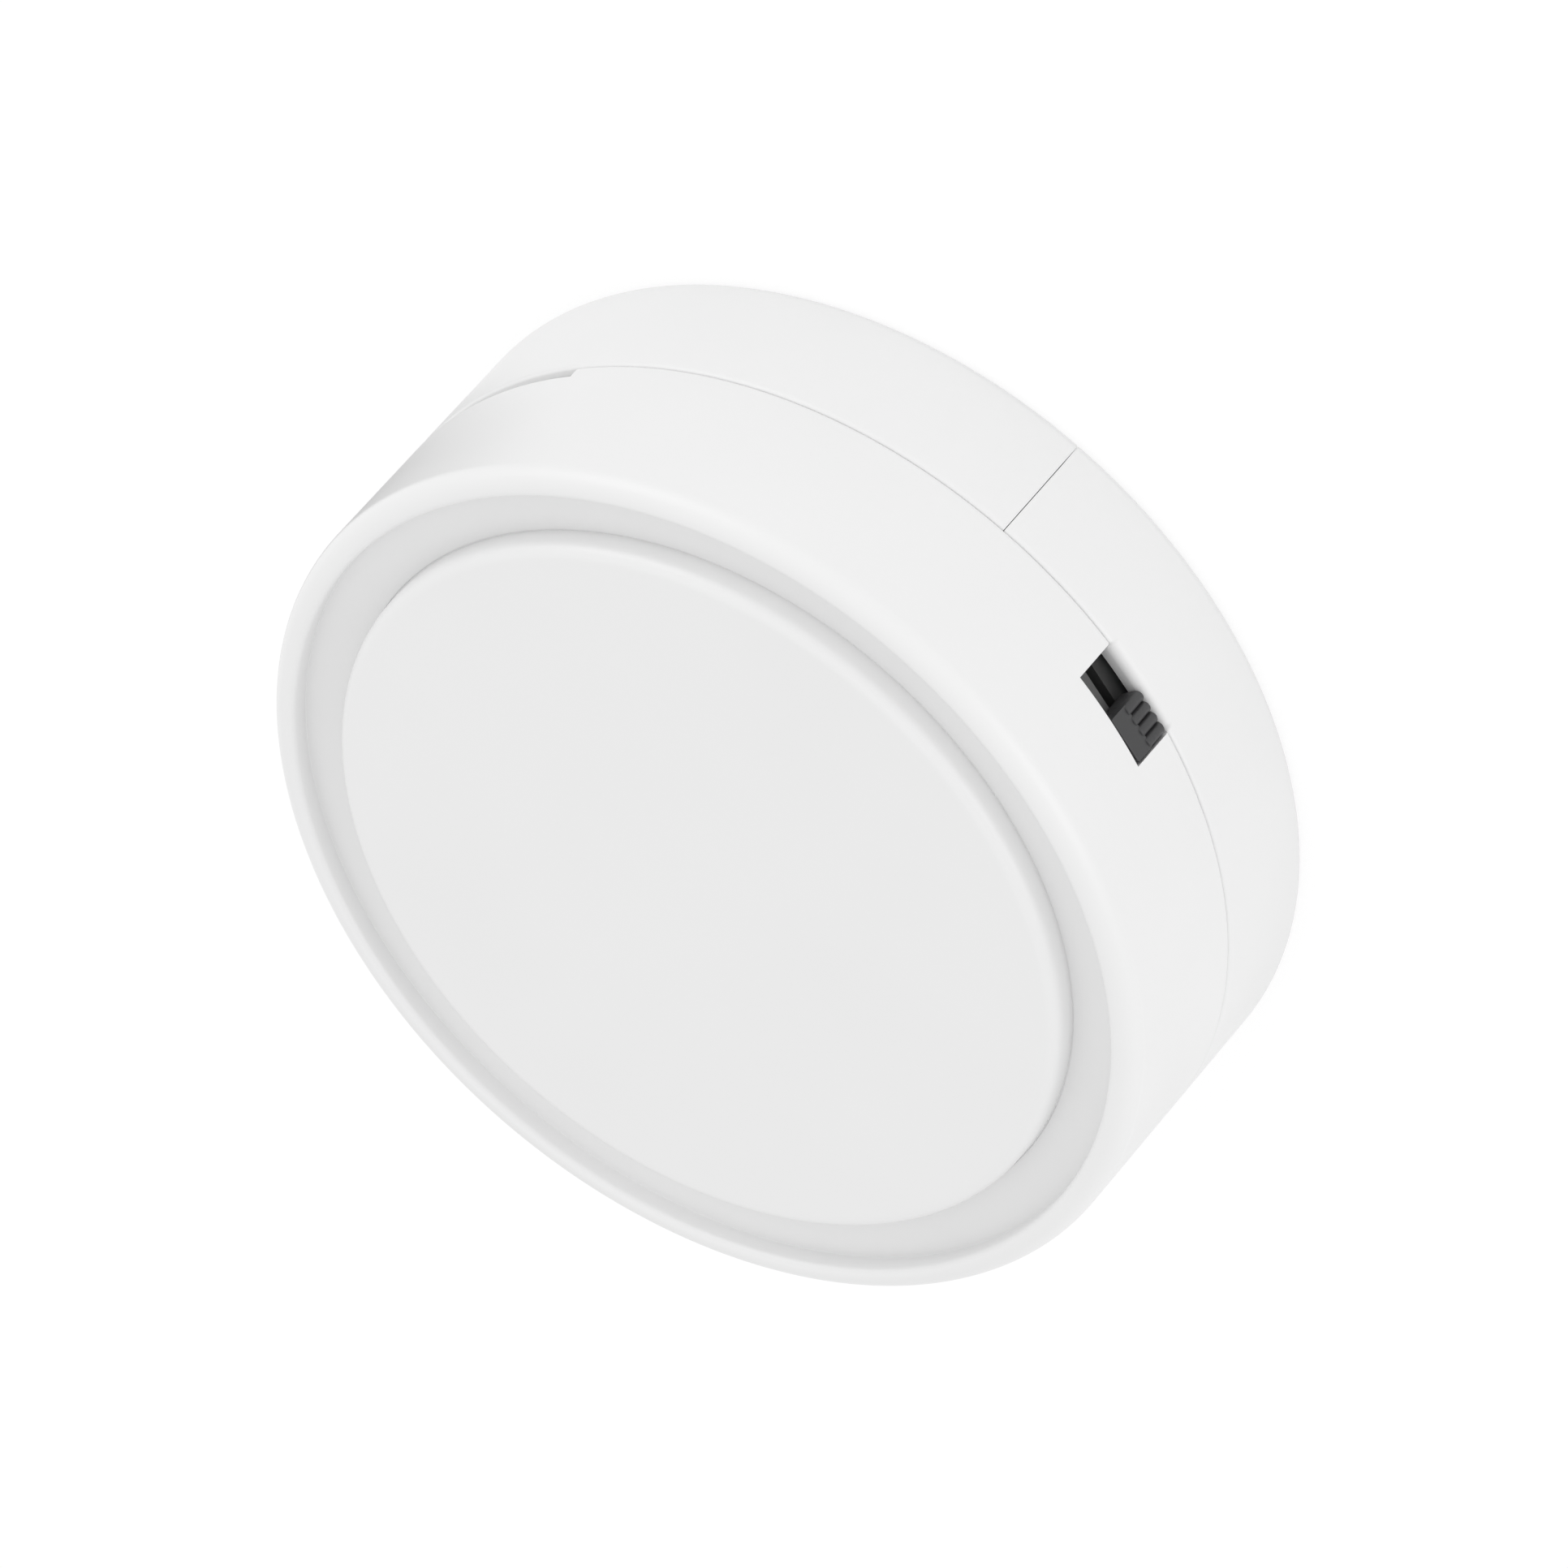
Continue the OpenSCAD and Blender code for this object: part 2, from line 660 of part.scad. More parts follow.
// centre pin whose outer end is bent down to the board, and the lead that stands at the can's far end
module vibration_sensor_leads() color("gold") {
    pin_l = spring_turns * spring_pitch;
    along_sensor() translate([0, 0, -lead_reach])
        cylinder(d = lead_d, h = lead_reach + sensor_base_t + pin_l);
    translate([sensor_x, sensor_y - lead_reach, board_top]) cylinder(d = lead_d, h = sensor_d / 2);
    translate([sensor_x, sensor_y - lead_reach, sensor_z]) sphere(d = lead_d);
    translate([sensor_x, sensor_y + sensor_l + lead_d / 2, board_top])
        cylinder(d = lead_d, h = sensor_d / 2);
}

// points of the spring's centre line, a helix that climbs along the sensor from its base
spring_rings = 8;
spring_sides = 6;
spring_steps = spring_turns * spring_rings;
spring_start = sensor_base_t + spring_wire / 2 + slider_clear;
function spring_centre(i) =
    let (a = 360 * i / spring_rings)
    [spring_d / 2 * cos(a), spring_d / 2 * sin(a), spring_start + spring_pitch * i / spring_rings];
function spring_point(i, j) =
    let (a = 360 * i / spring_rings, b = 360 * j / spring_sides, c = spring_centre(i), r = spring_wire / 2)
    [c[0] + r * cos(b) * cos(a), c[1] + r * cos(b) * sin(a), c[2] + r * sin(b)];
spring_gap = min([for (i = [0:spring_steps], j = [i + spring_rings / 2:1:spring_steps])
    norm(spring_centre(i) - spring_centre(j))]) - spring_wire;
echo(spring_gap = spring_gap);

module vibration_sensor_spring() color("silver") {
    n = spring_sides;
    last = spring_steps * n;
    points = [for (i = [0:spring_steps], j = [0:n - 1]) spring_point(i, j)];
    sides = [for (i = [0:spring_steps - 1], j = [0:n - 1], half = [0, 1])
        let (a = i * n + j, b = i * n + (j + 1) % n)
        half == 0 ? [a, b, b + n] : [a, b + n, a + n]];
    ends = [for (j = [1:n - 2], far = [0, 1])
        far == 0 ? [0, j + 1, j] : [last, last + j, last + j + 1]];
    along_sensor() polyhedron(points, concat(sides, ends));
}

module radio_chip() color([0.12, 0.12, 0.13]) {
    translate([radio_x, radio_y, board_top]) difference() {
        block([radio_w, radio_w, radio_h]);
        translate([radio_w / 2 - pin_mark_d, radio_w / 2 - pin_mark_d, radio_h - pin_mark_d / 6])
            cylinder(d = pin_mark_d, h = pin_mark_d);
    }
}

module crystal() color("silver") {
    translate([radio_x, crystal_y, board_top]) {
        block([crystal_l, crystal_w, crystal_h - crystal_step]);
        block([crystal_l - 2 * crystal_step, crystal_w - 2 * crystal_step, crystal_h]);
    }
}

module chip_antenna() color("lightblue") {
    translate([antenna_x, 0, board_top]) block([antenna_w, antenna_l, antenna_h]);
}

module chip_capacitors() color("tan") {
    capacitor_size = [capacitor_l, capacitor_w, capacitor_w];
    for (i = [0:3])
        translate([capacitor_row_x + capacitor_pitch * i, capacitor_row_y, board_top]) block(capacitor_size);
    for (i = [0:1])
        translate([capacitor_pair_x, capacitor_pair_y + capacitor_pitch * i, board_top])
            rotate(90) block(capacitor_size);
}

// coin cell: the can is the positive pole and faces the rear, the cap faces the board
module at_cell() {
    translate([cell_x, 0, cell_z]) children();
}

module coin_cell_can() color("silver") {
    can_h = cell_h - 2 * cell_wall;
    at_cell() rotate_extrude() {
        difference() {
            square([cell_r, can_h]);
            translate([0, cell_wall]) square([cell_r - cell_wall, can_h]);
            translate([cell_r, 0]) rotate(90) corner_round(cell_wall);
        }
    }
}

module coin_cell_gasket() color([0.2, 0.2, 0.22]) {
    gasket_or = cell_r - cell_wall;
    at_cell() translate([0, 0, cell_wall]) difference() {
        cylinder(r = gasket_or, h = cell_h - 2 * cell_wall);
        translate([0, 0, -pass]) cylinder(r = gasket_or - gasket_w, h = cell_h + pass);
    }
}

module coin_cell_cap() color("silver") {
    cap_r = cell_r - cell_wall - gasket_w;
    at_cell() rotate_extrude() {
        difference() {
            translate([0, 3 * cell_wall]) square([cap_r, cell_h - 3 * cell_wall]);
            translate([0, 3 * cell_wall]) square([cap_r - cell_wall, cell_h - 4 * cell_wall]);
            translate([cap_r, cell_h]) rotate(180) corner_round(cell_wall);
        }
    }
}

module coin_cell_core() color("dimgray") {
    core_r = cell_r - 2 * cell_wall - gasket_w;
    at_cell() translate([0, 0, cell_wall]) cylinder(r = core_r, h = cell_h - 2 * cell_wall);
}

module at_holder_pins() {
    for (side = [-1, 1])
        translate([cell_x, 0]) at_angle(side * holder_pin_angle, (holder_ir + holder_or) / 2) children();
}

// outline of the horseshoe that is open towards the door
module horseshoe(r, x1) {
    translate([cell_x, 0]) circle(r);
    translate([cell_x, -r]) square([x1 - cell_x, 2 * r]);
}

module battery_holder() color([0.12, 0.12, 0.13]) {
    translate([0, 0, holder_z]) linear_extrude(board_z - holder_z) difference() {
        horseshoe(holder_or, holder_x1);
        horseshoe(holder_ir, holder_x1 + cell_r);
    }
    for (side = [0, 1])
        mirror([0, side]) translate([rail_x0, holder_or - holder_t / 2, holder_z])
            cube([rail_x1 - rail_x0, holder_t / 2 + rail_w, rail_t]);
    at_holder_pins() translate([0, 0, board_z - pass]) cylinder(d = holder_pin_d, h = board_t + 2 * pass);
}

module battery_positive_clip() color("silver") {
    leg_x = cell_x - holder_or - cell_clear - clip_t;
    translate([leg_x, -clip_w / 2, clip_z]) cube([cell_x - leg_x, clip_w, clip_t]);
    translate([cell_x, 0, clip_z]) cylinder(d = clip_w, h = clip_t);
    translate([leg_x, -clip_w / 3, clip_z]) cube([clip_t, 2 * clip_w / 3, board_z - clip_z]);
    translate([leg_x - foot_l, -clip_w / 3, board_z - clip_t])
        cube([foot_l + clip_t, 2 * clip_w / 3, clip_t]);
}

module battery_negative_contact() color("gold") {
    translate([cell_x, 0, contact_z]) cylinder(d = contact_d, h = contact_t);
}

// screw with a cross recess, head down, whose head seats at z = 0
module screw(length) {
    difference() {
        union() {
            translate([0, 0, -head_h]) cylinder(d = head_d, h = head_h);
            cylinder(d = screw_d, h = length);
        }
        for (turn = [0, 90])
            rotate(turn) translate([0, 0, -head_h - pass]) block([head_d / 2, recess_w, head_h / 2 + pass]);
    }
}

module case_screws() color("silver") {
    for (a = case_screw_angles)
        at_angle(a, boss_ring_r) translate([0, 0, head_seat_z]) screw(screw_tip_z - head_seat_z);
}

module board_screws() color("silver") {
    for (a = board_screw_angles)
        at_angle(a, boss_ring_r) translate([0, 0, board_z]) screw(screw_tip_z - board_z);
}

front_shell();
front_button();
rear_shell();
battery_door();
main_board();
slide_switch_base();
slide_switch_frame();
slide_switch_knob();
slide_switch_terminals();
tact_switch_base();
tact_switch_cover();
tact_switch_plunger();
vibration_sensor_case();
vibration_sensor_base();
vibration_sensor_leads();
vibration_sensor_spring();
radio_chip();
crystal();
chip_antenna();
chip_capacitors();
coin_cell_can();
coin_cell_cap();
coin_cell_gasket();
coin_cell_core();
battery_holder();
battery_positive_clip();
battery_negative_contact();
case_screws();
board_screws();
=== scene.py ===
"""Looks of a round vibration sensor tag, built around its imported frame.

The file is laid out as an add-on and is run as a script. Lengths are in metres, in the frame's own axes: the
tag lies on its rear face, Z runs out of the front and X points at the middle of the battery door.
"""

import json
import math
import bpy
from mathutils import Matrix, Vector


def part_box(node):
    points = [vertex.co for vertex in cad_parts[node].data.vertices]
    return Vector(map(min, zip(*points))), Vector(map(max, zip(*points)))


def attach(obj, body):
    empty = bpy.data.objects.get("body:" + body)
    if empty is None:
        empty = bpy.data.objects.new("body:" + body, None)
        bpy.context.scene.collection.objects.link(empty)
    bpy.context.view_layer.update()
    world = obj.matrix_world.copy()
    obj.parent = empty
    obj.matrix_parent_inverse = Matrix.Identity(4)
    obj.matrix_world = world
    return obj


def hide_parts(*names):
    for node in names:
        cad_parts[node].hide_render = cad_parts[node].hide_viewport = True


bl_info = {
    "name": "Vibration sensor tag",
    "version": (1, 0, 0),
    "blender": (4, 5, 0),
    "location": "3D View > Sidebar > Sensor tag",
    "description": "Builds the visible pieces, finishes and stage of a round vibration sensor tag",
    "category": "Object",
}

import bmesh
import bpy
import numpy as np
from mathutils import Matrix, Vector

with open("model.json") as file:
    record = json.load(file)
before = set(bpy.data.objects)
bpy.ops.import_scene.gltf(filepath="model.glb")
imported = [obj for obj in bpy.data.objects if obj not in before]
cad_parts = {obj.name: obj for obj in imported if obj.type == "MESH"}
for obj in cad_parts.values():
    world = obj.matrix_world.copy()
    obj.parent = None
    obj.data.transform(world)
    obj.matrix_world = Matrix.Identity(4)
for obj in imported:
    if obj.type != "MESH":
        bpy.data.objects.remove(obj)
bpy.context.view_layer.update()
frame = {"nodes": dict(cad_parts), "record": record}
NODES = frame["nodes"]
SLOTS = {part["node"]: part["material_slot"] for part in frame["record"]["subparts"]}
FINISHES = {
    "shell_plastic": "white_shell_abs",
    "black_plastic": "black_filled_nylon",
    "grey_plastic": "grey_knob_nylon",
    "plated_steel": "nickel_plated_steel",
    "gilt_brass": "gold_plated_brass",
    "board_laminate": "green_solder_mask",
    "chip_ceramic": "fired_chip_ceramic",
    "cell_pellet": "black_filled_nylon",
}
MM = 0.001
# points of a mesh that lie nearer than this are one point
MERGE_NEAR = 0.001 * MM
# faces that meet at more than this angle, in degrees, keep a sharp edge; the knob's small rounds need more
SHARP = 35.0
KNOB_SHARP = 40.0
# points round the press disc and round a rod
DISC_COLUMNS = 288
ROD_COLUMNS = 64
# angle in degrees between the last column beside the switch and the first radial one
COLUMN_STEP = 2.0
# range that holds most of a noise texture's values
NOISE_RANGE = {"From Min": 0.35, "From Max": 0.65}
WHITE = (1.0, 1.0, 1.0, 1.0)


def top(node):
    """Height of a frame node's highest point."""
    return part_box(node)[1].z


def half_width(node):
    """Half of a frame node's width along Y."""
    low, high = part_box(node)
    return (high.y - low.y) / 2


def length(name, description, millimetres):
    """A length property, given in millimetres and kept in metres."""
    return bpy.props.FloatProperty(name=name, description=description, default=millimetres * MM, min=0.0,
                                   precision=5, subtype="DISTANCE", unit="LENGTH")


def degrees(name, description, default):
    """An angle property, given in degrees and kept in radians."""
    return bpy.props.FloatProperty(name=name, description=description, default=math.radians(default),
                                   subtype="ANGLE", unit="ROTATION")


def hex_linear(code):
    """Linear RGBA of an sRGB hex colour such as "#F0F0EE"."""
    srgb = np.array([int(code[i:i + 2], 16) for i in (1, 3, 5)]) / 255
    linear = np.where(srgb <= 0.04045, srgb / 12.92, ((srgb + 0.055) / 1.055) ** 2.4)
    return (*linear.tolist(), 1.0)


def number(name, description, default, low=0):
    """A count property."""
    return bpy.props.IntProperty(name=name, description=description, default=default, min=low)


def colour(name, description, code):
    """A colour property whose default is an sRGB hex value."""
    return bpy.props.FloatVectorProperty(name=name, description=description, size=4, min=0.0, max=1.0,
                                         default=hex_linear(code), subtype="COLOR")


class TagSizes(bpy.types.PropertyGroup):
    """Sizes of the tag's visible pieces."""

    body_r: length("Housing radius", "Outer radius of the round housing", half_width("front_shell") / MM)
    rim_z: length("Rim height", "Height of the rim's crest above the rear face", top("front_shell") / MM)
    seam_z: length("Rear edge height", "Height of the rear halves' upper edge", top("rear_shell") / MM)
    seam_gap: length("Parting gap", "Gap along the parting lines, drawn finer than the frame's", 0.025)
    split_w: length("Split edge width", "Width of the round on the edges along the split", 0.1)
    split_d: length("Split edge depth", "Depth of the round on the edges along the split", 0.05)
    wall_t: length("Wall", "Thickness of the side walls", 1.3)
    floor_t: length("Rear floor", "Thickness of the rear floor", 1.0)
    rear_r: length("Rear fillet", "Fillet round the rear edge", 0.6)
    edge_h: length("Edge height", "Height of the round on the moulded edges along the seam", 0.24)
    edge_w: length("Edge depth", "Depth of the round on the moulded edges along the seam", 0.15)
    fine_r: length("Fine edge", "Round on the edges of the side opening and the pry slot", 0.08)
    brink_r: length("Groove brink", "Round on the groove's edge beside the press disc", 0.04)
    lip_t: length("Rear lip", "Thickness of the rear walls' outer lip", 0.65)
    sill_t: length("Sill", "Thickness of the rear lip below the side opening", 0.95)
    sill_drop: length("Sill drop", "How far the sill falls towards the switch", 0.08)
    scoop_r: length("Sill scoop", "Round on the rear lip below the side opening", 0.5)
    scoop_run: length("Scoop run-out", "Length over which the scoop fades at its ends", 0.2)
    tongue_h: length("Tongue height", "How far the tongue hangs behind the lip", 0.5)
    tongue_clear: length("Tongue clearance", "Gap between the tongue and the rear walls", 0.1)
    lap_angle: degrees("Lap angle", "Angle that a lap reaches behind the door's wall", 4)
    lap_t: length("Lap", "Thickness of the laps behind the split", 0.45)
    lap_clear: length("Lap clearance", "Gap between the laps and the door's wall", 0.15)
    rim_land: length("Rim land", "Width of the rim's crest", 1.15)
    rim_inner_r: length("Rim inner round", "Round on the inner edge of the rim", 0.3)
    groove_w: length("Groove width", "Width of the groove between rim and press disc", 2.2)
    groove_depth: length("Groove depth", "Depth of the groove beside the press disc", 1.0)
    groove_rise: length("Groove rise", "How far the groove's floor rises towards the rim", 0.05)
    groove_cove: length("Groove cove", "Hollow round between the groove's floor and the rim", 0.04)
    front_t: length("Groove floor", "Thickness of the groove's floor", 0.9)
    pry_h: length("Pry slot height", "Height of the pry slot in the front shell's edge", 0.6)
    pry_depth: length("Pry slot depth", "Depth of the pry slot, drawn shallower than the frame's", 0.36)
    pry_angle: degrees("Pry slot angle", "Angle that the pry slot covers", 64)
    switch_angle: degrees("Switch direction", "Direction in which the slide switch faces", 246.3)
    switch_face: length("Switch face", "Distance of the switch's face from the axis", 18.9)
    opening_l: length("Switch opening", "Width of the switch's side opening", 4.36)
    opening_h: length("Opening height", "Height of the side opening", 2.35)
    pocket_l: length("Switch pocket", "Width of the pocket behind the side opening", 7.6)
    pocket_clear: length("Pocket clearance", "Gap between the switch's face and its pocket", 0.2)
    button_top: length("Disc height", "Height of the press disc's face", top("front_button") / MM)
    button_edge_r: length("Disc edge", "Round on the press disc's edge", 0.55)
    button_t: length("Disc plate", "Thickness of the press disc", 1.4)
    button_clear: length("Disc gap", "Gap round the press disc", 0.05)
    shoulder_w: length("Disc shoulder", "Width of the shoulder that closes the disc's gap to light", 0.048)
    shoulder_drop: length("Shoulder drop", "How far the shoulder lies below the groove's floor", 0.04)
    skirt_t: length("Disc skirt", "Thickness of the press disc's skirt", 1.0)
    flange_w: length("Disc flange", "How far the retaining flange reaches past the skirt", 0.9)
    flange_t: length("Flange thickness", "Thickness of the retaining flange", 0.7)
    flange_clear: length("Flange clearance", "Gap between the flange and the groove's floor", 0.1)
    stem_d: length("Disc stem", "Diameter of the stem under the press disc", 4.4)
    rib_h: length("Disc rib height", "Height of the ribs under the press disc", 0.8)
    rib_t: length("Disc rib", "Thickness of the ribs under the press disc", 0.9)
    rib_count: number("Disc ribs", "Ribs under the press disc", 6)
    key_r: length("Key reach", "Distance of the keys' inner end from the axis", 17.1)
    key_w: length("Key", "Width of the keys that stop the press disc turning", 1.2)
    key_clear: length("Key clearance", "Gap round the keys in the disc's flange", 0.2)
    key_count: number("Keys", "Keys that stop the disc turning", 3)
    knob_l: length("Knob length", "Length of the switch knob along its travel", 2.1)
    knob_h: length("Knob height", "Height of the switch knob", 1.2)
    knob_travel: length("Knob travel", "Travel of the switch knob", 2.1)
    knob_inset: length("Knob inset", "How far the ridges stay inside the housing's surface", 0.02)
    plate_inset: length("Knob plate", "How far the knob's flat part stays inside the surface", 0.12)
    plate_clear: length("Plate clearance", "Gap between the flat part and the opening's front edge", 0.12)
    knob_edge_r: length("Knob edge", "Round on the knob's edges", 0.1)
    ridge_r: length("Ridge", "Radius of the knob's half-round ridges", 0.25)
    ridge_count: number("Ridges", "Ridges on the switch knob", 4, 1)
    neck_l: length("Neck length", "Length of the neck behind the knob", 1.5)
    neck_h: length("Neck height", "Height of the neck behind the knob", 0.5)
    slider_l: length("Slider length", "Length of the slider plate inside the switch", 3.4)
    slider_h: length("Slider height", "Height of the slider plate", 1.1)
    slider_t: length("Slider", "Thickness of the slider plate", 0.6)
    slider_y: length("Slider place", "Distance of the slider plate's rear side from the axis", 17.45)
    floor_clear: length("Floor clearance", "Gap over the rear floor that the sliding pieces keep", 0.15)
    root: length("Root", "How deep an added piece is rooted in the wall or floor", 0.2)
    hook_x0: length("Hook start", "Where the door's hooks begin", 1.25)
    hook_x1: length("Hook end", "Where the door's hooks end", 11.75)
    hook_y: length("Hook place", "Distance of the door's hooks from its middle", 12.5)
    hook_t: length("Hook wall", "Thickness of the door's hooks", 1.0)
    hook_lip_w: length("Hook lip", "Width of the lip on the door's hooks", 1.0)
    hook_lip_z: length("Hook lip height", "Height of the hooks' lip above the rear face", 2.3)
    hook_lip_t: length("Hook lip thickness", "Thickness of the hooks' lip", 0.6)
    tab_l: length("Tab length", "How far the door's tabs reach past the split", 3.0)
    tab_y: length("Tab place", "Distance of the door's tabs from its middle", 13.9)
    tab_w: length("Tab width", "Width of the door's tabs", 2.2)
    tab_t: length("Tab", "Thickness of the door's tabs", 0.7)
    grip_x: length("Grip start", "Where the finger grooves under the door begin", 10.0)
    grip_w: length("Grip width", "Width of a finger groove", 0.8)
    grip_l: length("Grip length", "Length of a finger groove", 9.0)
    grip_depth: length("Grip depth", "Depth of a finger groove", 0.3)
    grip_count: number("Grips", "Finger grooves under the door", 4)
    pillar_ring_r: length("Pillar ring", "Distance of the screw pillars from the axis", 15.8)
    pillar_angle: degrees("Pillar direction", "Angle of the screw pillars from the far side", 38)
    pillar_d: length("Pillar", "Diameter of the screw pillars", 5.6)
    pillar_z: length("Pillar height", "Height of the screw pillars above the rear face", 4.8)
    screw_hole_d: length("Screw hole", "Diameter of the holes for the screws", 2.1)
    counterbore_d: length("Counterbore", "Diameter of the counterbores for the screw heads", 4.1)
    counterbore_z: length("Counterbore depth", "Depth of the counterbores for the screw heads", 2.0)
    board_screw_y: length("Board screw place", "Distance of the board's screws from the middle", 13.35)
    boss_d: length("Boss", "Diameter of the front shell's screw bosses", 4.2)
    boss_z: length("Boss height", "Height of the bosses' upper end above the rear face", 10.55)
    boss_end_t: length("Boss end", "Thickness of the closed end of a boss", 0.95)
    web_t: length("Web", "Thickness of the webs that join the bosses to the wall", 1.4)


class TagColours(bpy.types.PropertyGroup):
    """Colours of the tag's finishes."""

    shell: colour("Shell", "White of the moulded shells", "#E9E9E9")
    shell_shade: colour("Shell shade", "Slightly greyer white in the shells' slow variation", "#E6E6E6")
    switch_black: colour("Switch black", "Black of the switch and the inner mouldings", "#3A3A3A")
    knob_grey: colour("Knob grey", "Dark grey of the switch knob", "#323233")
    board_green: colour("Board", "Solder mask of the board", "#1F5A34")
    nickel: colour("Nickel", "Nickel plating on the steel pieces", "#C9C7C1")
    black_steel: colour("Black steel", "Black phosphate coat on the slide switch's frame", "#4A4A4A")
    gilt: colour("Gilt", "Gold plating on the contacts", "#D9B566")
    ceramic: colour("Ceramic", "Fired ceramic of the chip parts", "#B49A78")
    floor: colour("Floor", "Pale floor under the tag", "#F4F4F4")
    # painted shadow: the card's dark part and its paler edge stand in for the floor's shade beside the tag,
    # seen in the wall's reflection
    card: colour("Card", "Dark part of the card that the side reflects", "#1A1A1A")
    card_edge: colour("Card edge", "Paler edge of the card beside the tag", "#D2D2D2")


def sizes():
    """Sizes that the scene keeps."""
    return bpy.context.scene.tag_sizes


def colours():
    """Colours that the scene keeps."""
    return bpy.context.scene.tag_colours


# Surfaces


def arc(centre, radius, start, end, count):
    """Points on a circle round centre, from the angle start to end in degrees, or on an ellipse where radius
    is a pair of half-widths."""
    a = np.radians(np.linspace(start, end, count))
    return np.asarray(centre) + np.asarray(radius) * np.stack([np.cos(a), np.sin(a)], -1)


def path(*runs):
    """One run of points out of single points and arrays of points."""
    return np.concatenate([np.atleast_2d(np.asarray(r, float)) for r in runs])


def grid_faces(rows, columns, wrap_rows, wrap_columns):
    """Quads between neighbours of a grid of points, row by row."""
    i = np.arange(rows if wrap_rows else rows - 1)[:, None]
    j = np.arange(columns if wrap_columns else columns - 1)[None, :]
    i2, j2 = (i + 1) % rows, (j + 1) % columns
    corners = (i * columns + j, i2 * columns + j, i2 * columns + j2, i * columns + j2)
    return np.stack(np.broadcast_arrays(*corners), -1).reshape(-1, 4).tolist()


def mesh_of(name, points, faces, sharp=SHARP):
    """Closed mesh with merged doubles, faces outwards and edges over the angle sharp kept sharp."""
    mesh = bpy.data.meshes.new(name)
    mesh.from_pydata(np.asarray(points, float).reshape(-1, 3).tolist(), [], faces)
    clean(mesh)
    smooth(mesh, sharp)
    return mesh


def clean(mesh):
    """Merges points that fall together, drops faces with no area and turns the rest outwards."""
    bm = bmesh.new()
    bm.from_mesh(mesh)
    bmesh.ops.remove_doubles(bm, verts=bm.verts, dist=MERGE_NEAR)
    bmesh.ops.dissolve_degenerate(bm, edges=bm.edges, dist=MERGE_NEAR)
    bmesh.ops.recalc_face_normals(bm, faces=bm.faces)
    bm.to_mesh(mesh)
    bm.free()


def smooth(mesh, angle):
    """Shades a mesh smooth, with sharp edges where faces meet at more than angle degrees."""
    mesh.polygons.foreach_set("use_smooth", np.ones(len(mesh.polygons), bool))
    mesh.set_sharp_from_angle(angle=math.radians(angle))
    mesh.update()


def linked(name, data):
    """Object at the origin that shows a mesh, light or camera."""
    piece = bpy.data.objects.new(name, data)
    bpy.context.scene.collection.objects.link(piece)
    return piece


def revolved(section, angles, centre=(0.0, 0.0)):
    """Grid of a section of (radius, height) points carried to angles round a vertical axis through centre."""
    a = np.asarray(angles)[:, None]
    r, z = section[None, :, 0], section[None, :, 1]
    return np.stack([centre[0] + r * np.cos(a), centre[1] + r * np.sin(a), z + 0 * a], -1)


def full_turn(count, start=0.0):
    """Angles of a number of like columns or features, evenly spaced round the axis from start."""
    return start + 2 * math.pi * np.arange(count) / max(count, 1)


def box_mesh(name, low, high, place=np.asarray):
    """Box between two corners, put in its place by a function of its points."""
    x, y, z = zip(low, high)
    corners = np.array([(x[i], y[j], z[k]) for i in (0, 1) for j in (0, 1) for k in (0, 1)])
    faces = [(0, 1, 3, 2), (4, 6, 7, 5), (0, 4, 5, 1), (2, 3, 7, 6), (0, 2, 6, 4), (1, 5, 7, 3)]
    return mesh_of(name, place(corners), faces)


def capped(name, points, wrap, sharp=SHARP):
    """Closed mesh of a row of outlines, one behind the other, whose first and last outline are filled."""
    count, each = points.shape[:2]
    faces = grid_faces(count, each, False, wrap)
    faces += [list(range(each)), list(range((count - 1) * each, count * each))]
    return mesh_of(name, points, faces, sharp)


def rod_mesh(name, centre, radius, low, high):
    """Upright rod round centre, with whole end faces."""
    rings = revolved(path((radius, low), (radius, high)), full_turn(ROD_COLUMNS), centre).swapaxes(0, 1)
    return capped(name, rings, True)


def carved(name, base, joined=(), cut=(), sharp=SHARP):
    """Base mesh with the joined meshes added to it and the cut meshes taken away from it."""
    piece = linked(name, base)
    helpers = []
    for mode, meshes in (("UNION", joined), ("DIFFERENCE", cut)):
        for mesh in meshes:
            helper = linked(mesh.name, mesh)
            step = piece.modifiers.new(mode.title(), "BOOLEAN")
            step.operation = mode
            step.solver = "EXACT"
            step.object = helper
            helpers.append(helper)
    graph = bpy.context.evaluated_depsgraph_get()
    result = bpy.data.meshes.new_from_object(piece.evaluated_get(graph))
    piece.modifiers.clear()
    piece.data = result
    result.name = name
    for helper in helpers:
        old = helper.data
        bpy.data.objects.remove(helper)
        bpy.data.meshes.remove(old)
    bpy.data.meshes.remove(base)
    clean(result)
    smooth(result, sharp)
    return piece


def finished(piece, body, node):
    """Makes a piece ride on a body and stand for a frame node, with the slot and finish of that node."""
    piece.data.materials.clear()
    piece.data.materials.append(finish(FINISHES[SLOTS[node]]))
    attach(piece, body)
    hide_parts(node)


# Materials


def add(tree, kind, values=None, links=None, **settings):
    """Adds a shader node with its settings, its sockets' constants and its links from (node, output)."""
    node = tree.nodes.new("ShaderNode" + kind)
    for key, value in settings.items():
        setattr(node, key, value)
    for key, value in (values or {}).items():
        node.inputs[key].default_value = value
    for key, (source, output) in (links or {}).items():
        tree.links.new(source.outputs[output], node.inputs[key])
    return node


def new_material(name, surface, *values):
    """Node material with the surface that a function builds in its tree from the values."""
    material = bpy.data.materials.new(name)
    material.use_nodes = True
    material.node_tree.nodes.clear()
    add(material.node_tree, "OutputMaterial", None, {"Surface": surface(material.node_tree, *values)})
    return material


def per_metre(size_mm):
    """Noise scale whose grain is about size_mm across on Object coordinates."""
    return 1.0 / (size_mm * MM)


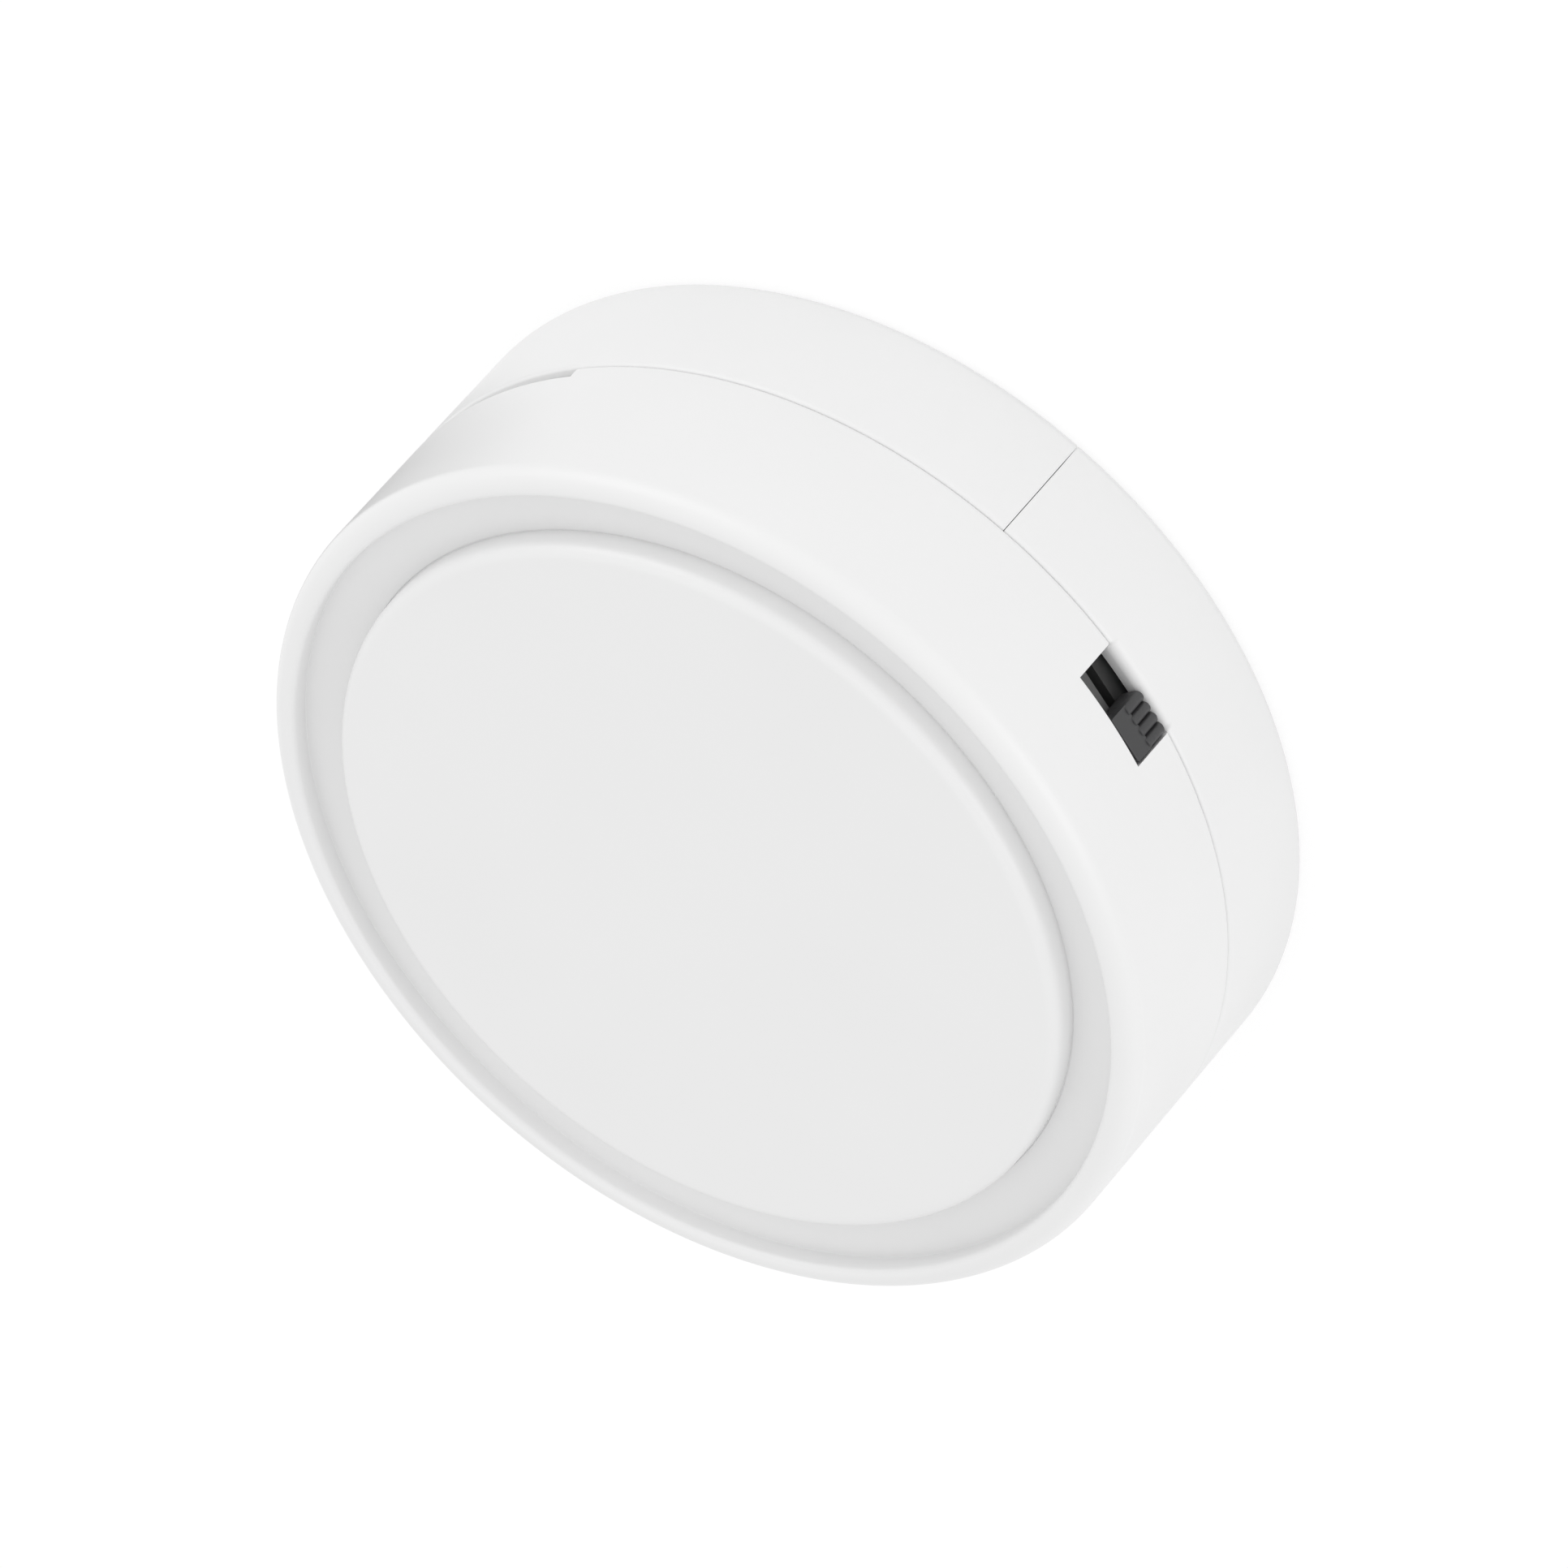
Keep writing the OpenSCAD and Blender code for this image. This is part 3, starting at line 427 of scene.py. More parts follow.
def toned(tone, share):
    """Colour with its light multiplied by a share."""
    return (*(min(1.0, share * c) for c in tone[:3]), 1.0)


def white_shell_abs(tree, tone, shade):
    """White ABS, injection moulded with a fine spark-eroded satin. The eye sees an even white, soft broad
    highlights and a slightly livelier gloss where the mould was polished more."""
    place = add(tree, "TexCoord")
    slow = add(tree, "TexNoise", {"Scale": per_metre(9), "Detail": 2.0}, {"Vector": (place, "Object")})
    # the real texture is about 0.03 mm; it is drawn at 0.16 mm so that it still softens the highlights
    grain = add(tree, "TexNoise", {"Scale": per_metre(0.16), "Detail": 3.0}, {"Vector": (place, "Object")})
    tint = add(tree, "Mix", {"A": tone, "B": shade}, {"Factor": (slow, "Fac")}, data_type="RGBA")
    gloss = add(tree, "MapRange", {**NOISE_RANGE, "To Min": 0.34, "To Max": 0.42}, {"Value": (slow, "Fac")})
    relief = add(tree, "Bump", {"Strength": 0.12, "Distance": 0.006 * MM}, {"Height": (grain, "Fac")})
    shader = add(tree, "BsdfPrincipled", {"IOR": 1.52},
                 {"Base Color": (tint, "Result"), "Roughness": (gloss, "Result"),
                  "Normal": (relief, "Normal")})
    return shader, "BSDF"


def dull_dark(tree, tone, rough, grain_mm):
    """Dark glass-filled nylon as moulded, or steel with a black phosphate coat. The eye sees a dull black
    with a fine grain and paler specks of wear; rough is the range of the roughness."""
    place = add(tree, "TexCoord")
    grain = add(tree, "TexNoise", {"Scale": per_metre(grain_mm), "Detail": 4.0},
                {"Vector": (place, "Object")})
    tint = add(tree, "Mix", {"A": tone, "B": toned(tone, 1.35)}, {"Factor": (grain, "Fac")}, data_type="RGBA")
    gloss = add(tree, "MapRange", {**NOISE_RANGE, "To Min": rough[0], "To Max": rough[1]},
                {"Value": (grain, "Fac")})
    relief = add(tree, "Bump", {"Strength": 0.2, "Distance": 0.01 * MM}, {"Height": (grain, "Fac")})
    shader = add(tree, "BsdfPrincipled", {"IOR": 1.53},
                 {"Base Color": (tint, "Result"), "Roughness": (gloss, "Result"),
                  "Normal": (relief, "Normal")})
    return shader, "BSDF"


def plated_metal(tree, tone, rough):
    """Rolled sheet with a thin plating. The eye sees an even satin sheen with faint rolling lines along X."""
    place = add(tree, "TexCoord")
    stretch = add(tree, "Mapping", {"Scale": (0.05, 1.0, 1.0)}, {"Vector": (place, "Object")})
    lines = add(tree, "TexNoise", {"Scale": per_metre(0.1), "Detail": 3.0}, {"Vector": (stretch, "Vector")})
    gloss = add(tree, "MapRange", {**NOISE_RANGE, "To Min": rough - 0.03, "To Max": rough + 0.04},
                {"Value": (lines, "Fac")})
    relief = add(tree, "Bump", {"Strength": 0.06, "Distance": 0.002 * MM}, {"Height": (lines, "Fac")})
    shader = add(tree, "BsdfPrincipled", {"Base Color": tone, "Metallic": 1.0},
                 {"Roughness": (gloss, "Result"), "Normal": (relief, "Normal")})
    return shader, "BSDF"


def solder_mask(tree, tone):
    """Glass-epoxy board under green solder mask. The eye sees a glossy green with slightly paler copper
    tracks that run along and across it, 0.24 mm wide."""
    place = add(tree, "TexCoord")
    layout = {"Scale": per_metre(1), "Brick Width": 2.6, "Row Height": 0.9, "Mortar Size": 0.12,
              "Mortar Smooth": 0.2}
    tracks = add(tree, "TexBrick", layout, {"Vector": (place, "Object")})
    tint = add(tree, "Mix", {"A": tone, "B": toned(tone, 1.5)}, {"Factor": (tracks, "Fac")}, data_type="RGBA")
    shader = add(tree, "BsdfPrincipled", {"Roughness": 0.3}, {"Base Color": (tint, "Result")})
    return shader, "BSDF"


def fired_ceramic(tree, tone):
    """Sintered ceramic of the chip parts. The eye sees a dull buff body with a fine speckle."""
    place = add(tree, "TexCoord")
    speckle = add(tree, "TexNoise", {"Scale": per_metre(0.2), "Detail": 4.0}, {"Vector": (place, "Object")})
    tint = add(tree, "Mix", {"A": tone, "B": toned(tone, 0.75)}, {"Factor": (speckle, "Fac")},
               data_type="RGBA")
    shader = add(tree, "BsdfPrincipled", {"Roughness": 0.55}, {"Base Color": (tint, "Result")})
    return shader, "BSDF"


def finish(name):
    """Material of that name, made the first time that a piece asks for it."""
    tones = colours()
    values = {
        "white_shell_abs": (white_shell_abs, tones.shell, tones.shell_shade),
        "black_filled_nylon": (dull_dark, tones.switch_black, (0.42, 0.58), 0.2),
        "grey_knob_nylon": (dull_dark, tones.knob_grey, (0.4, 0.52), 0.15),
        "black_phosphated_steel": (dull_dark, tones.black_steel, (0.5, 0.6), 0.1),
        "nickel_plated_steel": (plated_metal, tones.nickel, 0.28),
        "gold_plated_brass": (plated_metal, tones.gilt, 0.25),
        "green_solder_mask": (solder_mask, tones.board_green),
        "fired_chip_ceramic": (fired_ceramic, tones.ceramic),
    }[name]
    return bpy.data.materials.get(name) or new_material(name, *values)


def dress(node, name):
    """Gives a frame node the finish of that name."""
    materials = NODES[node].data.materials
    for index in range(len(materials)):
        materials[index] = finish(name)


# Pieces


def front_section(s, low, back, inner_r, tongue, edge, lip_t):
    """Closed section of the front shell: outer wall from its lower edge at the height low, with a round of
    the depth and height edge, rounded rim, inner rim wall, cove, groove floor that slopes up to the rim, disc
    opening, inner wall, step into the switch's pocket of radius inner_r, tongue where tongue is true, and the
    wall's edge at the depth lip_t and height back."""
    wall_ir = s.body_r - s.wall_t
    lip_ir = max(s.body_r - lip_t, inner_r)
    rim_ir = s.body_r - s.rim_land
    crest_r = s.rim_land - s.rim_inner_r
    opening_r = rim_ir - s.groove_w + s.button_clear
    groove_z = s.rim_z - s.groove_depth
    under_z = groove_z - s.front_t
    window_z = s.seam_z + s.seam_gap + s.opening_h
    slope = math.atan2(s.groove_rise, rim_ir - opening_r)
    tilt = math.degrees(slope)
    f, cove = s.brink_r, s.groove_cove

    def floor_z(r):
        return groove_z + (r - opening_r) * math.tan(slope)

    cove_at = (rim_ir - cove, floor_z(rim_ir - cove) + cove / math.cos(slope))
    brink_at = (opening_r + f, floor_z(opening_r + f) - f / math.cos(slope))
    pocket_top = max(window_z - s.pocket_clear, back)
    tongue_or = s.body_r - s.lip_t - s.tongue_clear if tongue else inner_r
    tongue_low = s.seam_z - s.tongue_h if tongue else back
    return path(
        arc((s.body_r - edge[0], low + edge[1]), edge, -90, 0, 8), (s.body_r, window_z + s.fine_r),
        arc((s.body_r - crest_r, s.rim_z - crest_r), crest_r, 0, 90, 18),
        arc((rim_ir + s.rim_inner_r, s.rim_z - s.rim_inner_r), s.rim_inner_r, 90, 180, 10),
        arc(cove_at, cove, 0, tilt - 90, 8),
        arc(brink_at, f, 90 + tilt, 180, 5),
        (opening_r, under_z), (wall_ir, under_z), (wall_ir, pocket_top), (inner_r, pocket_top),
        (inner_r, tongue_low), (tongue_or, tongue_low), (tongue_or, back), (lip_ir, back), (lip_ir, low))


def front_shell_mesh():
    """Front shell: its section is carried round the axis. Columns are radial, but beside the switch they are
    planes parallel to its axis, at x from it, so that a point of radius r stands at sqrt(r^2 - x^2). The
    section changes between two columns at one place where the side opening, the flat pocket behind it or the
    pry slot begins."""
    s = sizes()
    front_z = s.seam_z + s.seam_gap
    wall_ir = s.body_r - s.wall_t
    half_pocket, half_window, reach = s.pocket_l / 2, s.opening_l / 2, s.pocket_l / 2 + s.wall_t
    window_z = front_z + s.opening_h
    soft, fine = (s.edge_w, s.edge_h), (s.fine_r, s.fine_r)
    plain = front_section(s, front_z, front_z, wall_ir, True, soft, s.lip_t)
    window = front_section(s, window_z, window_z, wall_ir, False, fine, s.lip_t)
    pried = front_section(s, front_z + s.pry_h, front_z, wall_ir, True, fine, s.pry_depth)

    def pocket(x):
        pocket_r = math.hypot(s.switch_face + s.pocket_clear, x)
        return front_section(s, front_z, front_z, pocket_r, False, soft, s.lip_t)

    x_plain = np.linspace(reach, half_pocket, 5)
    x_pocket = np.linspace(half_pocket, half_window, 8)
    x_window = np.linspace(half_window, -half_window, 17)
    planes = [(x, plain) for x in x_plain] + [(x, pocket(x)) for x in x_pocket]
    planes += [(x, window) for x in x_window]
    planes += [(-x, pocket(x)) for x in x_pocket[::-1]] + [(-x, plain) for x in x_plain[::-1]]
    points = []
    for x, section in planes:
        r, z = section.T
        points.append(at_switch(np.stack([np.full_like(r, x), np.sqrt(r * r - x * x), z], -1)))
    turn = math.degrees(s.switch_angle)
    margin = math.degrees(math.asin(reach / wall_ir)) + COLUMN_STEP
    half_pry = math.degrees(s.pry_angle) / 2
    radial = [(a, plain) for a in np.linspace(turn - 360 + margin, -half_pry, 60)]
    radial += [(a, pried) for a in np.linspace(-half_pry, half_pry, 52)]
    radial += [(a, plain) for a in np.linspace(half_pry, turn - margin, 160)]
    points += [revolved(section, [math.radians(a)])[0] for a, section in radial]
    points = np.array(points)
    return mesh_of("front_shell_skin", points, grid_faces(*points.shape[:2], True, True))


def press_disc_mesh():
    """Press disc: face, rounded edge, skirt with a small shoulder below the groove's floor, retaining flange,
    hollow underside and stem, turned round the axis."""
    s = sizes()
    r = s.body_r - s.rim_land - s.groove_w
    inner = r - s.skirt_t
    plate_z = s.button_top - s.button_t
    flange_top = s.rim_z - s.groove_depth - s.front_t - s.flange_clear
    flange_low = flange_top - s.flange_t
    stem_r, stem_low = s.stem_d / 2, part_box("front_button")[0].z
    shoulder_z = s.rim_z - s.groove_depth - s.shoulder_drop
    e = s.button_edge_r
    # rings of points keep the wide face even
    face = np.stack([np.linspace(0.1, 0.95, 12) * r, np.full(12, s.button_top)], -1)
    section = path(
        (0, s.button_top), face, arc((r - e, s.button_top - e), e, 90, 0, 10), (r, shoulder_z),
        (r + s.shoulder_w, shoulder_z), (r + s.shoulder_w, flange_top), (r + s.flange_w, flange_top),
        (r + s.flange_w, flange_low), (inner, flange_low), (inner, plate_z), (stem_r, plate_z),
        (stem_r, stem_low), (0, stem_low))
    points = revolved(section, full_turn(DISC_COLUMNS))
    return mesh_of("press_disc", points, grid_faces(*points.shape[:2], True, False))


def at_polar(angle):
    """Function that turns points given as (out from the axis, across, up) to a polar angle."""
    c, d = math.cos(angle), math.sin(angle)

    def place(points):
        out, across, up = points[..., 0], points[..., 1], points[..., 2]
        return np.stack([c * out - d * across, d * out + c * across, up], -1)

    return place


def front_shell_details():
    """Pieces added to and cut from the front shell: screw bosses with webs and bores, and the disc's keys."""
    s = sizes()
    wall_r = s.body_r - s.wall_t + s.root
    under_z = s.rim_z - s.groove_depth - s.front_t
    seat_z = top("main_board")
    board_angle = math.asin(s.board_screw_y / s.pillar_ring_r)
    joined, cut = [], []
    for a in (math.pi - s.pillar_angle, math.pi + s.pillar_angle, board_angle, -board_angle):
        centre = (s.pillar_ring_r * math.cos(a), s.pillar_ring_r * math.sin(a))
        joined.append(rod_mesh("boss", centre, s.boss_d / 2, seat_z, s.boss_z))
        joined.append(box_mesh("web", (s.pillar_ring_r, -s.web_t / 2, s.seam_z + s.seam_gap),
                               (wall_r, s.web_t / 2, s.boss_z), at_polar(a)))
        cut.append(rod_mesh("bore", centre, s.screw_hole_d / 2, seat_z - s.root, s.boss_z - s.boss_end_t))
    for a in full_turn(s.key_count, math.pi / 2):
        joined.append(box_mesh("key", (s.key_r, -s.key_w / 2, s.boss_z),
                               (wall_r, s.key_w / 2, under_z + s.root), at_polar(a)))
    return joined, cut


def press_disc_details():
    """Pieces added to and cut from the press disc: stiffening ribs and the notches for the keys."""
    s = sizes()
    r = s.body_r - s.rim_land - s.groove_w
    plate_z = s.button_top - s.button_t
    flange_top = s.rim_z - s.groove_depth - s.front_t - s.flange_clear
    half_notch = s.key_w / 2 + s.key_clear
    joined = [box_mesh("rib", (0, -s.rib_t / 2, plate_z - s.rib_h),
                       (r - s.skirt_t / 2, s.rib_t / 2, plate_z + s.root), at_polar(a))
              for a in full_turn(s.rib_count)]
    cut = [box_mesh("notch", (s.key_r - s.key_clear, -half_notch, flange_top - s.flange_t - s.root),
                    (r + s.flange_w + s.root, half_notch, flange_top + s.root), at_polar(a))
           for a in full_turn(s.key_count, math.pi / 2)]
    return joined, cut


def rear_section(s, share):
    """Section of the rear cup: from the axis along the rear face, round its fillet, up the wall, over the
    lip, down the rebate and the inner wall and back along the inner floor. With the share going from 0 to 1
    the lip turns into the sill below the side opening, which is thicker, rounder and falls towards the
    switch."""
    wall_ir = s.body_r - s.wall_t
    lip_ir = s.body_r - s.lip_t - (s.sill_t - s.lip_t) * share
    edge = (s.edge_w + (s.scoop_r - s.edge_w) * share, s.edge_h + (s.scoop_r - s.edge_h) * share)
    rebate_z = s.seam_z - s.tongue_h - s.tongue_clear
    f = s.rear_r
    # a ring of points well inside the fillet keeps the rear face flat
    flat_r = s.body_r - 4 * f
    return path((0, 0), (flat_r, 0), arc((s.body_r - f, f), f, -90, 0, 12),
                arc((s.body_r - edge[0], s.seam_z - edge[1]), edge, 0, 90, 12),
                (lip_ir, s.seam_z - s.sill_drop * share), (lip_ir, rebate_z),
                (wall_ir, rebate_z), arc((wall_ir - f, s.floor_t + f), f, 0, -90, 7), (0, s.floor_t))


def rear_half_mesh(name, side):
    """Half of the rear cup: its section is carried through half a turn on the +X or -X side. Below the side
    opening the lip's round grows into a scoop. At both ends the section is drawn in along a quarter of an
    ellipse: on planes at the distance w (1 - cos t) from the end it stands d (1 - sin t) inside its outline,
    with t from 0 to 90 degrees."""
    s = sizes()
    near = s.seam_gap / 2 + s.split_w
    plain = rear_section(s, 0)
    along = np.gradient(plain, axis=0)
    out = np.stack([along[:, 1], -along[:, 0]], -1) / np.linalg.norm(along, axis=1, keepdims=True)
    ends = []
    for t in np.radians(np.linspace(0, 90, 6)):
        r, z = (plain - s.split_d * (1 - math.sin(t)) * out).T
        x = np.full_like(r, near - s.split_w * math.cos(t))
        ends.append(np.stack([x, np.sqrt(np.clip(r * r - x * x, 0, None)), z], -1))
    half_window = s.opening_l / 2
    # closer columns where the scoop fades, and a little inside that
    brinks = np.linspace(half_window - 1.5 * s.scoop_run, half_window, 10)
    facing = math.degrees(s.switch_angle) - (180 if side < 0 else 0)
    fine = np.degrees(np.arcsin(np.concatenate([-brinks, brinks]) / s.body_r)) + facing
    turns = np.unique(np.concatenate([np.arange(-89.5, 90), fine[np.abs(fine) < 89]]))
    middle = []
    for a in np.radians(turns):
        off = a - math.radians(facing)
        apart = abs(s.body_r * math.sin(off))
        share = np.clip((half_window - apart) / s.scoop_run, 0, 1) if math.cos(off) > 0 else 0
        share = share * share * (3 - 2 * share)
        r, z = rear_section(s, share).T
        middle.append(np.stack([np.maximum(r * math.cos(a), near), r * math.sin(a), z], -1))
    first = [end * (1, -1, 1) for end in ends]
    points = np.array(first + middle + ends[::-1]) * (side, side, 1)
    return capped(name, points, False)


def mirrored_pair(make):
    """Meshes of a detail on the +Y side and of its mirror image, from a function of the side's sign."""
    return [make(1), make(-1)]


def sector_mesh(name, r0, r1, z0, z1, start, end):
    """Upright ring sector between two radii, two heights and two polar angles in degrees."""
    outline = path((r0, z0), (r1, z0), (r1, z1), (r0, z1))
    return capped(name, revolved(outline, np.radians(np.linspace(start, end, 9))), True)


def fixed_half_details():
    """Pieces added to and cut from the fixed rear half: laps behind the door's wall, pillars and bores."""
    s = sizes()
    wall_ir = s.body_r - s.wall_t
    lap_ir = wall_ir - s.lap_clear - s.lap_t
    lap_top = s.seam_z - s.tongue_h - s.tongue_clear - s.root
    turn = math.degrees(s.lap_angle)

    def lap(sign):
        return sector_mesh("lap", lap_ir, lap_ir + s.lap_t, s.floor_t + s.floor_clear, lap_top,
                           sign * (90 - turn), sign * (90 + turn))

    # the root begins inside the lap's length and ends beyond it
    def lap_root(sign):
        return sector_mesh("lap_root", lap_ir, wall_ir + s.root, s.floor_t - s.root, lap_top,
                           sign * (90 + turn / 2), sign * (90 + 1.5 * turn))

    def rod(diameter, low, high):
        def make(sign):
            a = math.pi - sign * s.pillar_angle
            centre = (s.pillar_ring_r * math.cos(a), s.pillar_ring_r * math.sin(a))
            return rod_mesh("pillar", centre, diameter / 2, low, high)
        return make

    joined = mirrored_pair(lap) + mirrored_pair(lap_root) + mirrored_pair(rod(s.pillar_d, s.root, s.pillar_z))
    cut = mirrored_pair(rod(s.counterbore_d, -s.root, s.counterbore_z))
    cut += mirrored_pair(rod(s.screw_hole_d, -s.root, s.pillar_z + s.root))
    return joined, cut


def door_details():
    """Pieces added to and cut from the battery door: hooks, tabs and the finger grooves under it."""
    s = sizes()

    def block(x0, x1, y0, y1, z0, z1):
        def make(sign):
            near, far = sorted((sign * y0, sign * y1))
            return box_mesh("door_block", (x0, near, z0), (x1, far, z1))
        return make

    tab_z = s.floor_t + s.floor_clear
    tab_x1, tab_y1 = 2 * s.tab_t, s.tab_y + s.tab_w
    root_z = s.floor_t - s.root
    hook_top = s.hook_lip_z + s.hook_lip_t
    hook = block(s.hook_x0, s.hook_x1, s.hook_y, s.hook_y + s.hook_t, root_z, hook_top)
    lip = block(s.hook_x0, s.hook_x1, s.hook_y - s.hook_lip_w, s.hook_y + s.root, s.hook_lip_z, hook_top)
    tab = block(-s.tab_l, tab_x1, s.tab_y, tab_y1, tab_z, tab_z + s.tab_t)
    tab_root = block(s.seam_gap, tab_x1, s.tab_y, tab_y1, root_z, tab_z + s.root)
    joined = [mesh for make in (hook, lip, tab, tab_root) for mesh in mirrored_pair(make)]
    cut = [box_mesh("grip", (x, -s.grip_l / 2, -s.root), (x + s.grip_w, s.grip_l / 2, s.grip_depth))
           for x in s.grip_x + 2 * s.grip_w * np.arange(s.grip_count)]
    return joined, cut


def knob_head_mesh():
    """Finger piece of the switch, with a row of half-round ridges along its outer side: within a ridge of
    radius r, at the distance x from its middle, the side stands sqrt(r^2 - x^2) out."""
    s = sizes()
    half = s.knob_l / 2
    tip = s.body_r - s.knob_inset
    pitch = s.knob_l / s.ridge_count
    t = np.linspace(-half, half, 24 * s.ridge_count + 1)
    off = np.mod(t + half, pitch) - pitch / 2
    outer = np.stack([t, tip - s.ridge_r + np.sqrt(np.clip(s.ridge_r ** 2 - off ** 2, 0, None))], -1)
    back = s.switch_face + s.tongue_clear
    return knob_part_mesh("knob_head", outer, back, knob_z() - s.knob_h / 2, knob_z() + s.knob_h / 2)


def knob_plate_mesh():
    """Flat part of the knob beside its ridges, up to the front edge of the side opening."""
    s = sizes()
    face, half = s.body_r - s.plate_inset, s.knob_l / 2 - s.knob_inset
    back = s.switch_face + 2 * s.tongue_clear
    low = knob_z() + s.knob_h / 2 - 2 * s.knob_edge_r
    high = s.seam_z + s.seam_gap + s.opening_h - s.plate_clear
    return knob_part_mesh("knob_plate", path((-half, face), (half, face)), back, low, high)


def knob_part_mesh(name, outer, back, low, high):
    """Part of the knob: an outline, with the points outer along its outer side and a flat rear at back, is
    carried from the height low to high and drawn in along a quarter round at both edges."""
    s = sizes()
    e, half = s.knob_edge_r, outer[-1, 0]
    outline = path((-half, back), outer, (half, back))
    a = np.radians(np.linspace(-90, 90, 12))
    rise = (low + high) / 2 + np.sign(a) * ((high - low) / 2 - e) + e * np.sin(a)
    drawn = e * (1 - np.cos(a))
    x = outline[None, :, 0] * (1 - drawn[:, None] / half)
    y = outline[None, :, 1] - np.where(outline[None, :, 1] > back + e, drawn[:, None], 0)
    points = np.stack(np.broadcast_arrays(x, y, rise[:, None]), -1)
    return capped(name, at_switch(points, s.knob_travel / 2), True, KNOB_SHARP)


def knob_z():
    """Height of the knob's middle."""
    low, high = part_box("slide_switch_knob")
    return (low.z + high.z) / 2


def knob_block_mesh(name, length_x, low_y, high_y, height):
    """Block of the knob behind its finger piece, centred on the knob."""
    half, low_z, shift = length_x / 2, knob_z() - height / 2, sizes().knob_travel / 2
    return box_mesh(name, (-half, low_y, low_z), (half, high_y, knob_z() + height / 2),
                    lambda points: at_switch(points, shift))


def at_switch(points, along=0.0):
    """Points given as (along the switch, out from the axis, up) turned into the frame's axes."""
    x, y, z = points[..., 0] + along, points[..., 1], points[..., 2]
    return at_polar(sizes().switch_angle)(np.stack([y, -x, z], -1))


class TAG_OT_front_shell(bpy.types.Operator):
    """Build the white front shell with its rim, groove, side opening and pry slot"""

    bl_idname = "sensor_tag.front_shell"
    bl_label = "Front shell"

    def execute(self, context):
        piece = carved("front_shell_skin", front_shell_mesh(), *front_shell_details())
        finished(piece, "housing", "front_shell")
        return {"FINISHED"}


class TAG_OT_press_disc(bpy.types.Operator):
    """Build the raised press disc in the front"""

    bl_idname = "sensor_tag.press_disc"
    bl_label = "Press disc"

    def execute(self, context):
        piece = carved("press_disc", press_disc_mesh(), *press_disc_details())
        finished(piece, "button", "front_button")
        return {"FINISHED"}


class TAG_OT_rear_halves(bpy.types.Operator):
    """Build the fixed rear half and the battery door"""

    bl_idname = "sensor_tag.rear_halves"
    bl_label = "Rear halves"

    def execute(self, context):
        fixed = carved("rear_shell_skin", rear_half_mesh("rear_half", -1), *fixed_half_details())
        finished(fixed, "housing", "rear_shell")
        door = carved("battery_door_skin", rear_half_mesh("door_half", 1), *door_details())
        finished(door, "door", "battery_door")
        return {"FINISHED"}


class TAG_OT_slide_switch(bpy.types.Operator):
    """Build the ridged switch knob and finish the switch behind it"""

    bl_idname = "sensor_tag.slide_switch"
    bl_label = "Slide switch"

    def execute(self, context):
        s = sizes()
        neck_end = s.switch_face + 3 * s.knob_edge_r
        blocks = (knob_plate_mesh(), knob_block_mesh("knob_neck", s.neck_l, s.slider_y, neck_end, s.neck_h),
                  knob_block_mesh("knob_slider", s.slider_l, s.slider_y, s.slider_y + s.slider_t, s.slider_h))
        piece = carved("ridged_switch_knob", knob_head_mesh(), joined=blocks, sharp=KNOB_SHARP)
        finished(piece, "switch_knob", "slide_switch_knob")
        dress("slide_switch_frame", "black_phosphated_steel")
        return {"FINISHED"}


class TAG_OT_inner_parts(bpy.types.Operator):
    """Finish the board, its parts and the coin cell inside the housing"""

    bl_idname = "sensor_tag.inner_parts"
    bl_label = "Inner parts"

    def execute(self, context):
        for node, slot in SLOTS.items():
            dress(node, FINISHES[slot])
        return {"FINISHED"}


class TAG_OT_stage(bpy.types.Operator):
    """Set up the pale floor, the card that paints reflected shadow, the soft studio light and the camera"""

    bl_idname = "sensor_tag.stage"
    bl_label = "Stage"

    def execute(self, context):
        set_floor()
        # card whose reflection in the wall paints the floor's shadow beside the tag
        set_shadow_card()
        set_light()
        set_camera()
        context.scene.view_settings.view_transform = "Standard"
        return {"FINISHED"}


# Stage

# the photograph's width and focal length in pixels, and the pixel of the rear face's centre
IMAGE = 1932.0
FOCAL = 18378.0
CENTRE_PIXEL = (1073.4, 852.6)
CAMERA_DISTANCE = 0.6
CAMERA_TILT = 50.1
CAMERA_ROLL = 41.47
CAMERA_TURN = -0.85
# the card that paints the floor's shadow into the wall's reflection: its near and far edge from the axis,
# where it turns dark, its length and its direction
CARD_NEAR = 20.4 * MM
CARD_FAR = 36.0 * MM
CARD_FADE = (23.4 * MM, 24.6 * MM)
CARD_LENGTH = 40.0 * MM
CARD_TURN = math.radians(27.8)
# the floor's half-width, how far it lies below the tag, and its white where the camera sees it
FLOOR_HALF = 4.0
FLOOR_DROP = 0.02 * MM
FLOOR_WHITE = 1.05
FLOOR_WHITE_SHARE = 0.8
# light of the dome, and of the backdrop that the camera sees
DOME_STRENGTH = 0.92
BACKDROP_STRENGTH = 1.0
# round soft lights with azimuth in degrees and power in watts, which face a point at the height LIGHT_AIM
SOFTBOXES = (("right_softbox", 225, 0.72), ("left_softbox", 340, 0.75))
LIGHT_ELEVATION = 15
LIGHT_DISTANCE = 0.6
LIGHT_SIZE = 0.5
LIGHT_AIM = 0.007
SENSOR_WIDTH = 36.0
CLIP_START, CLIP_END = 0.01, 20.0


def set_floor():
    """Wide pale floor that the camera and mirrors see nearly white, with the tag's shadow kept."""
    r = FLOOR_HALF
    mesh = bpy.data.meshes.new("pale_floor")
    mesh.from_pydata([(-r, -r, 0), (r, -r, 0), (r, r, 0), (-r, r, 0)], [], [(0, 1, 2, 3)])
    floor = linked("pale_floor", mesh)
    floor.location.z = -FLOOR_DROP
    mesh.materials.append(new_material("pale_floor_paint", floor_paint))


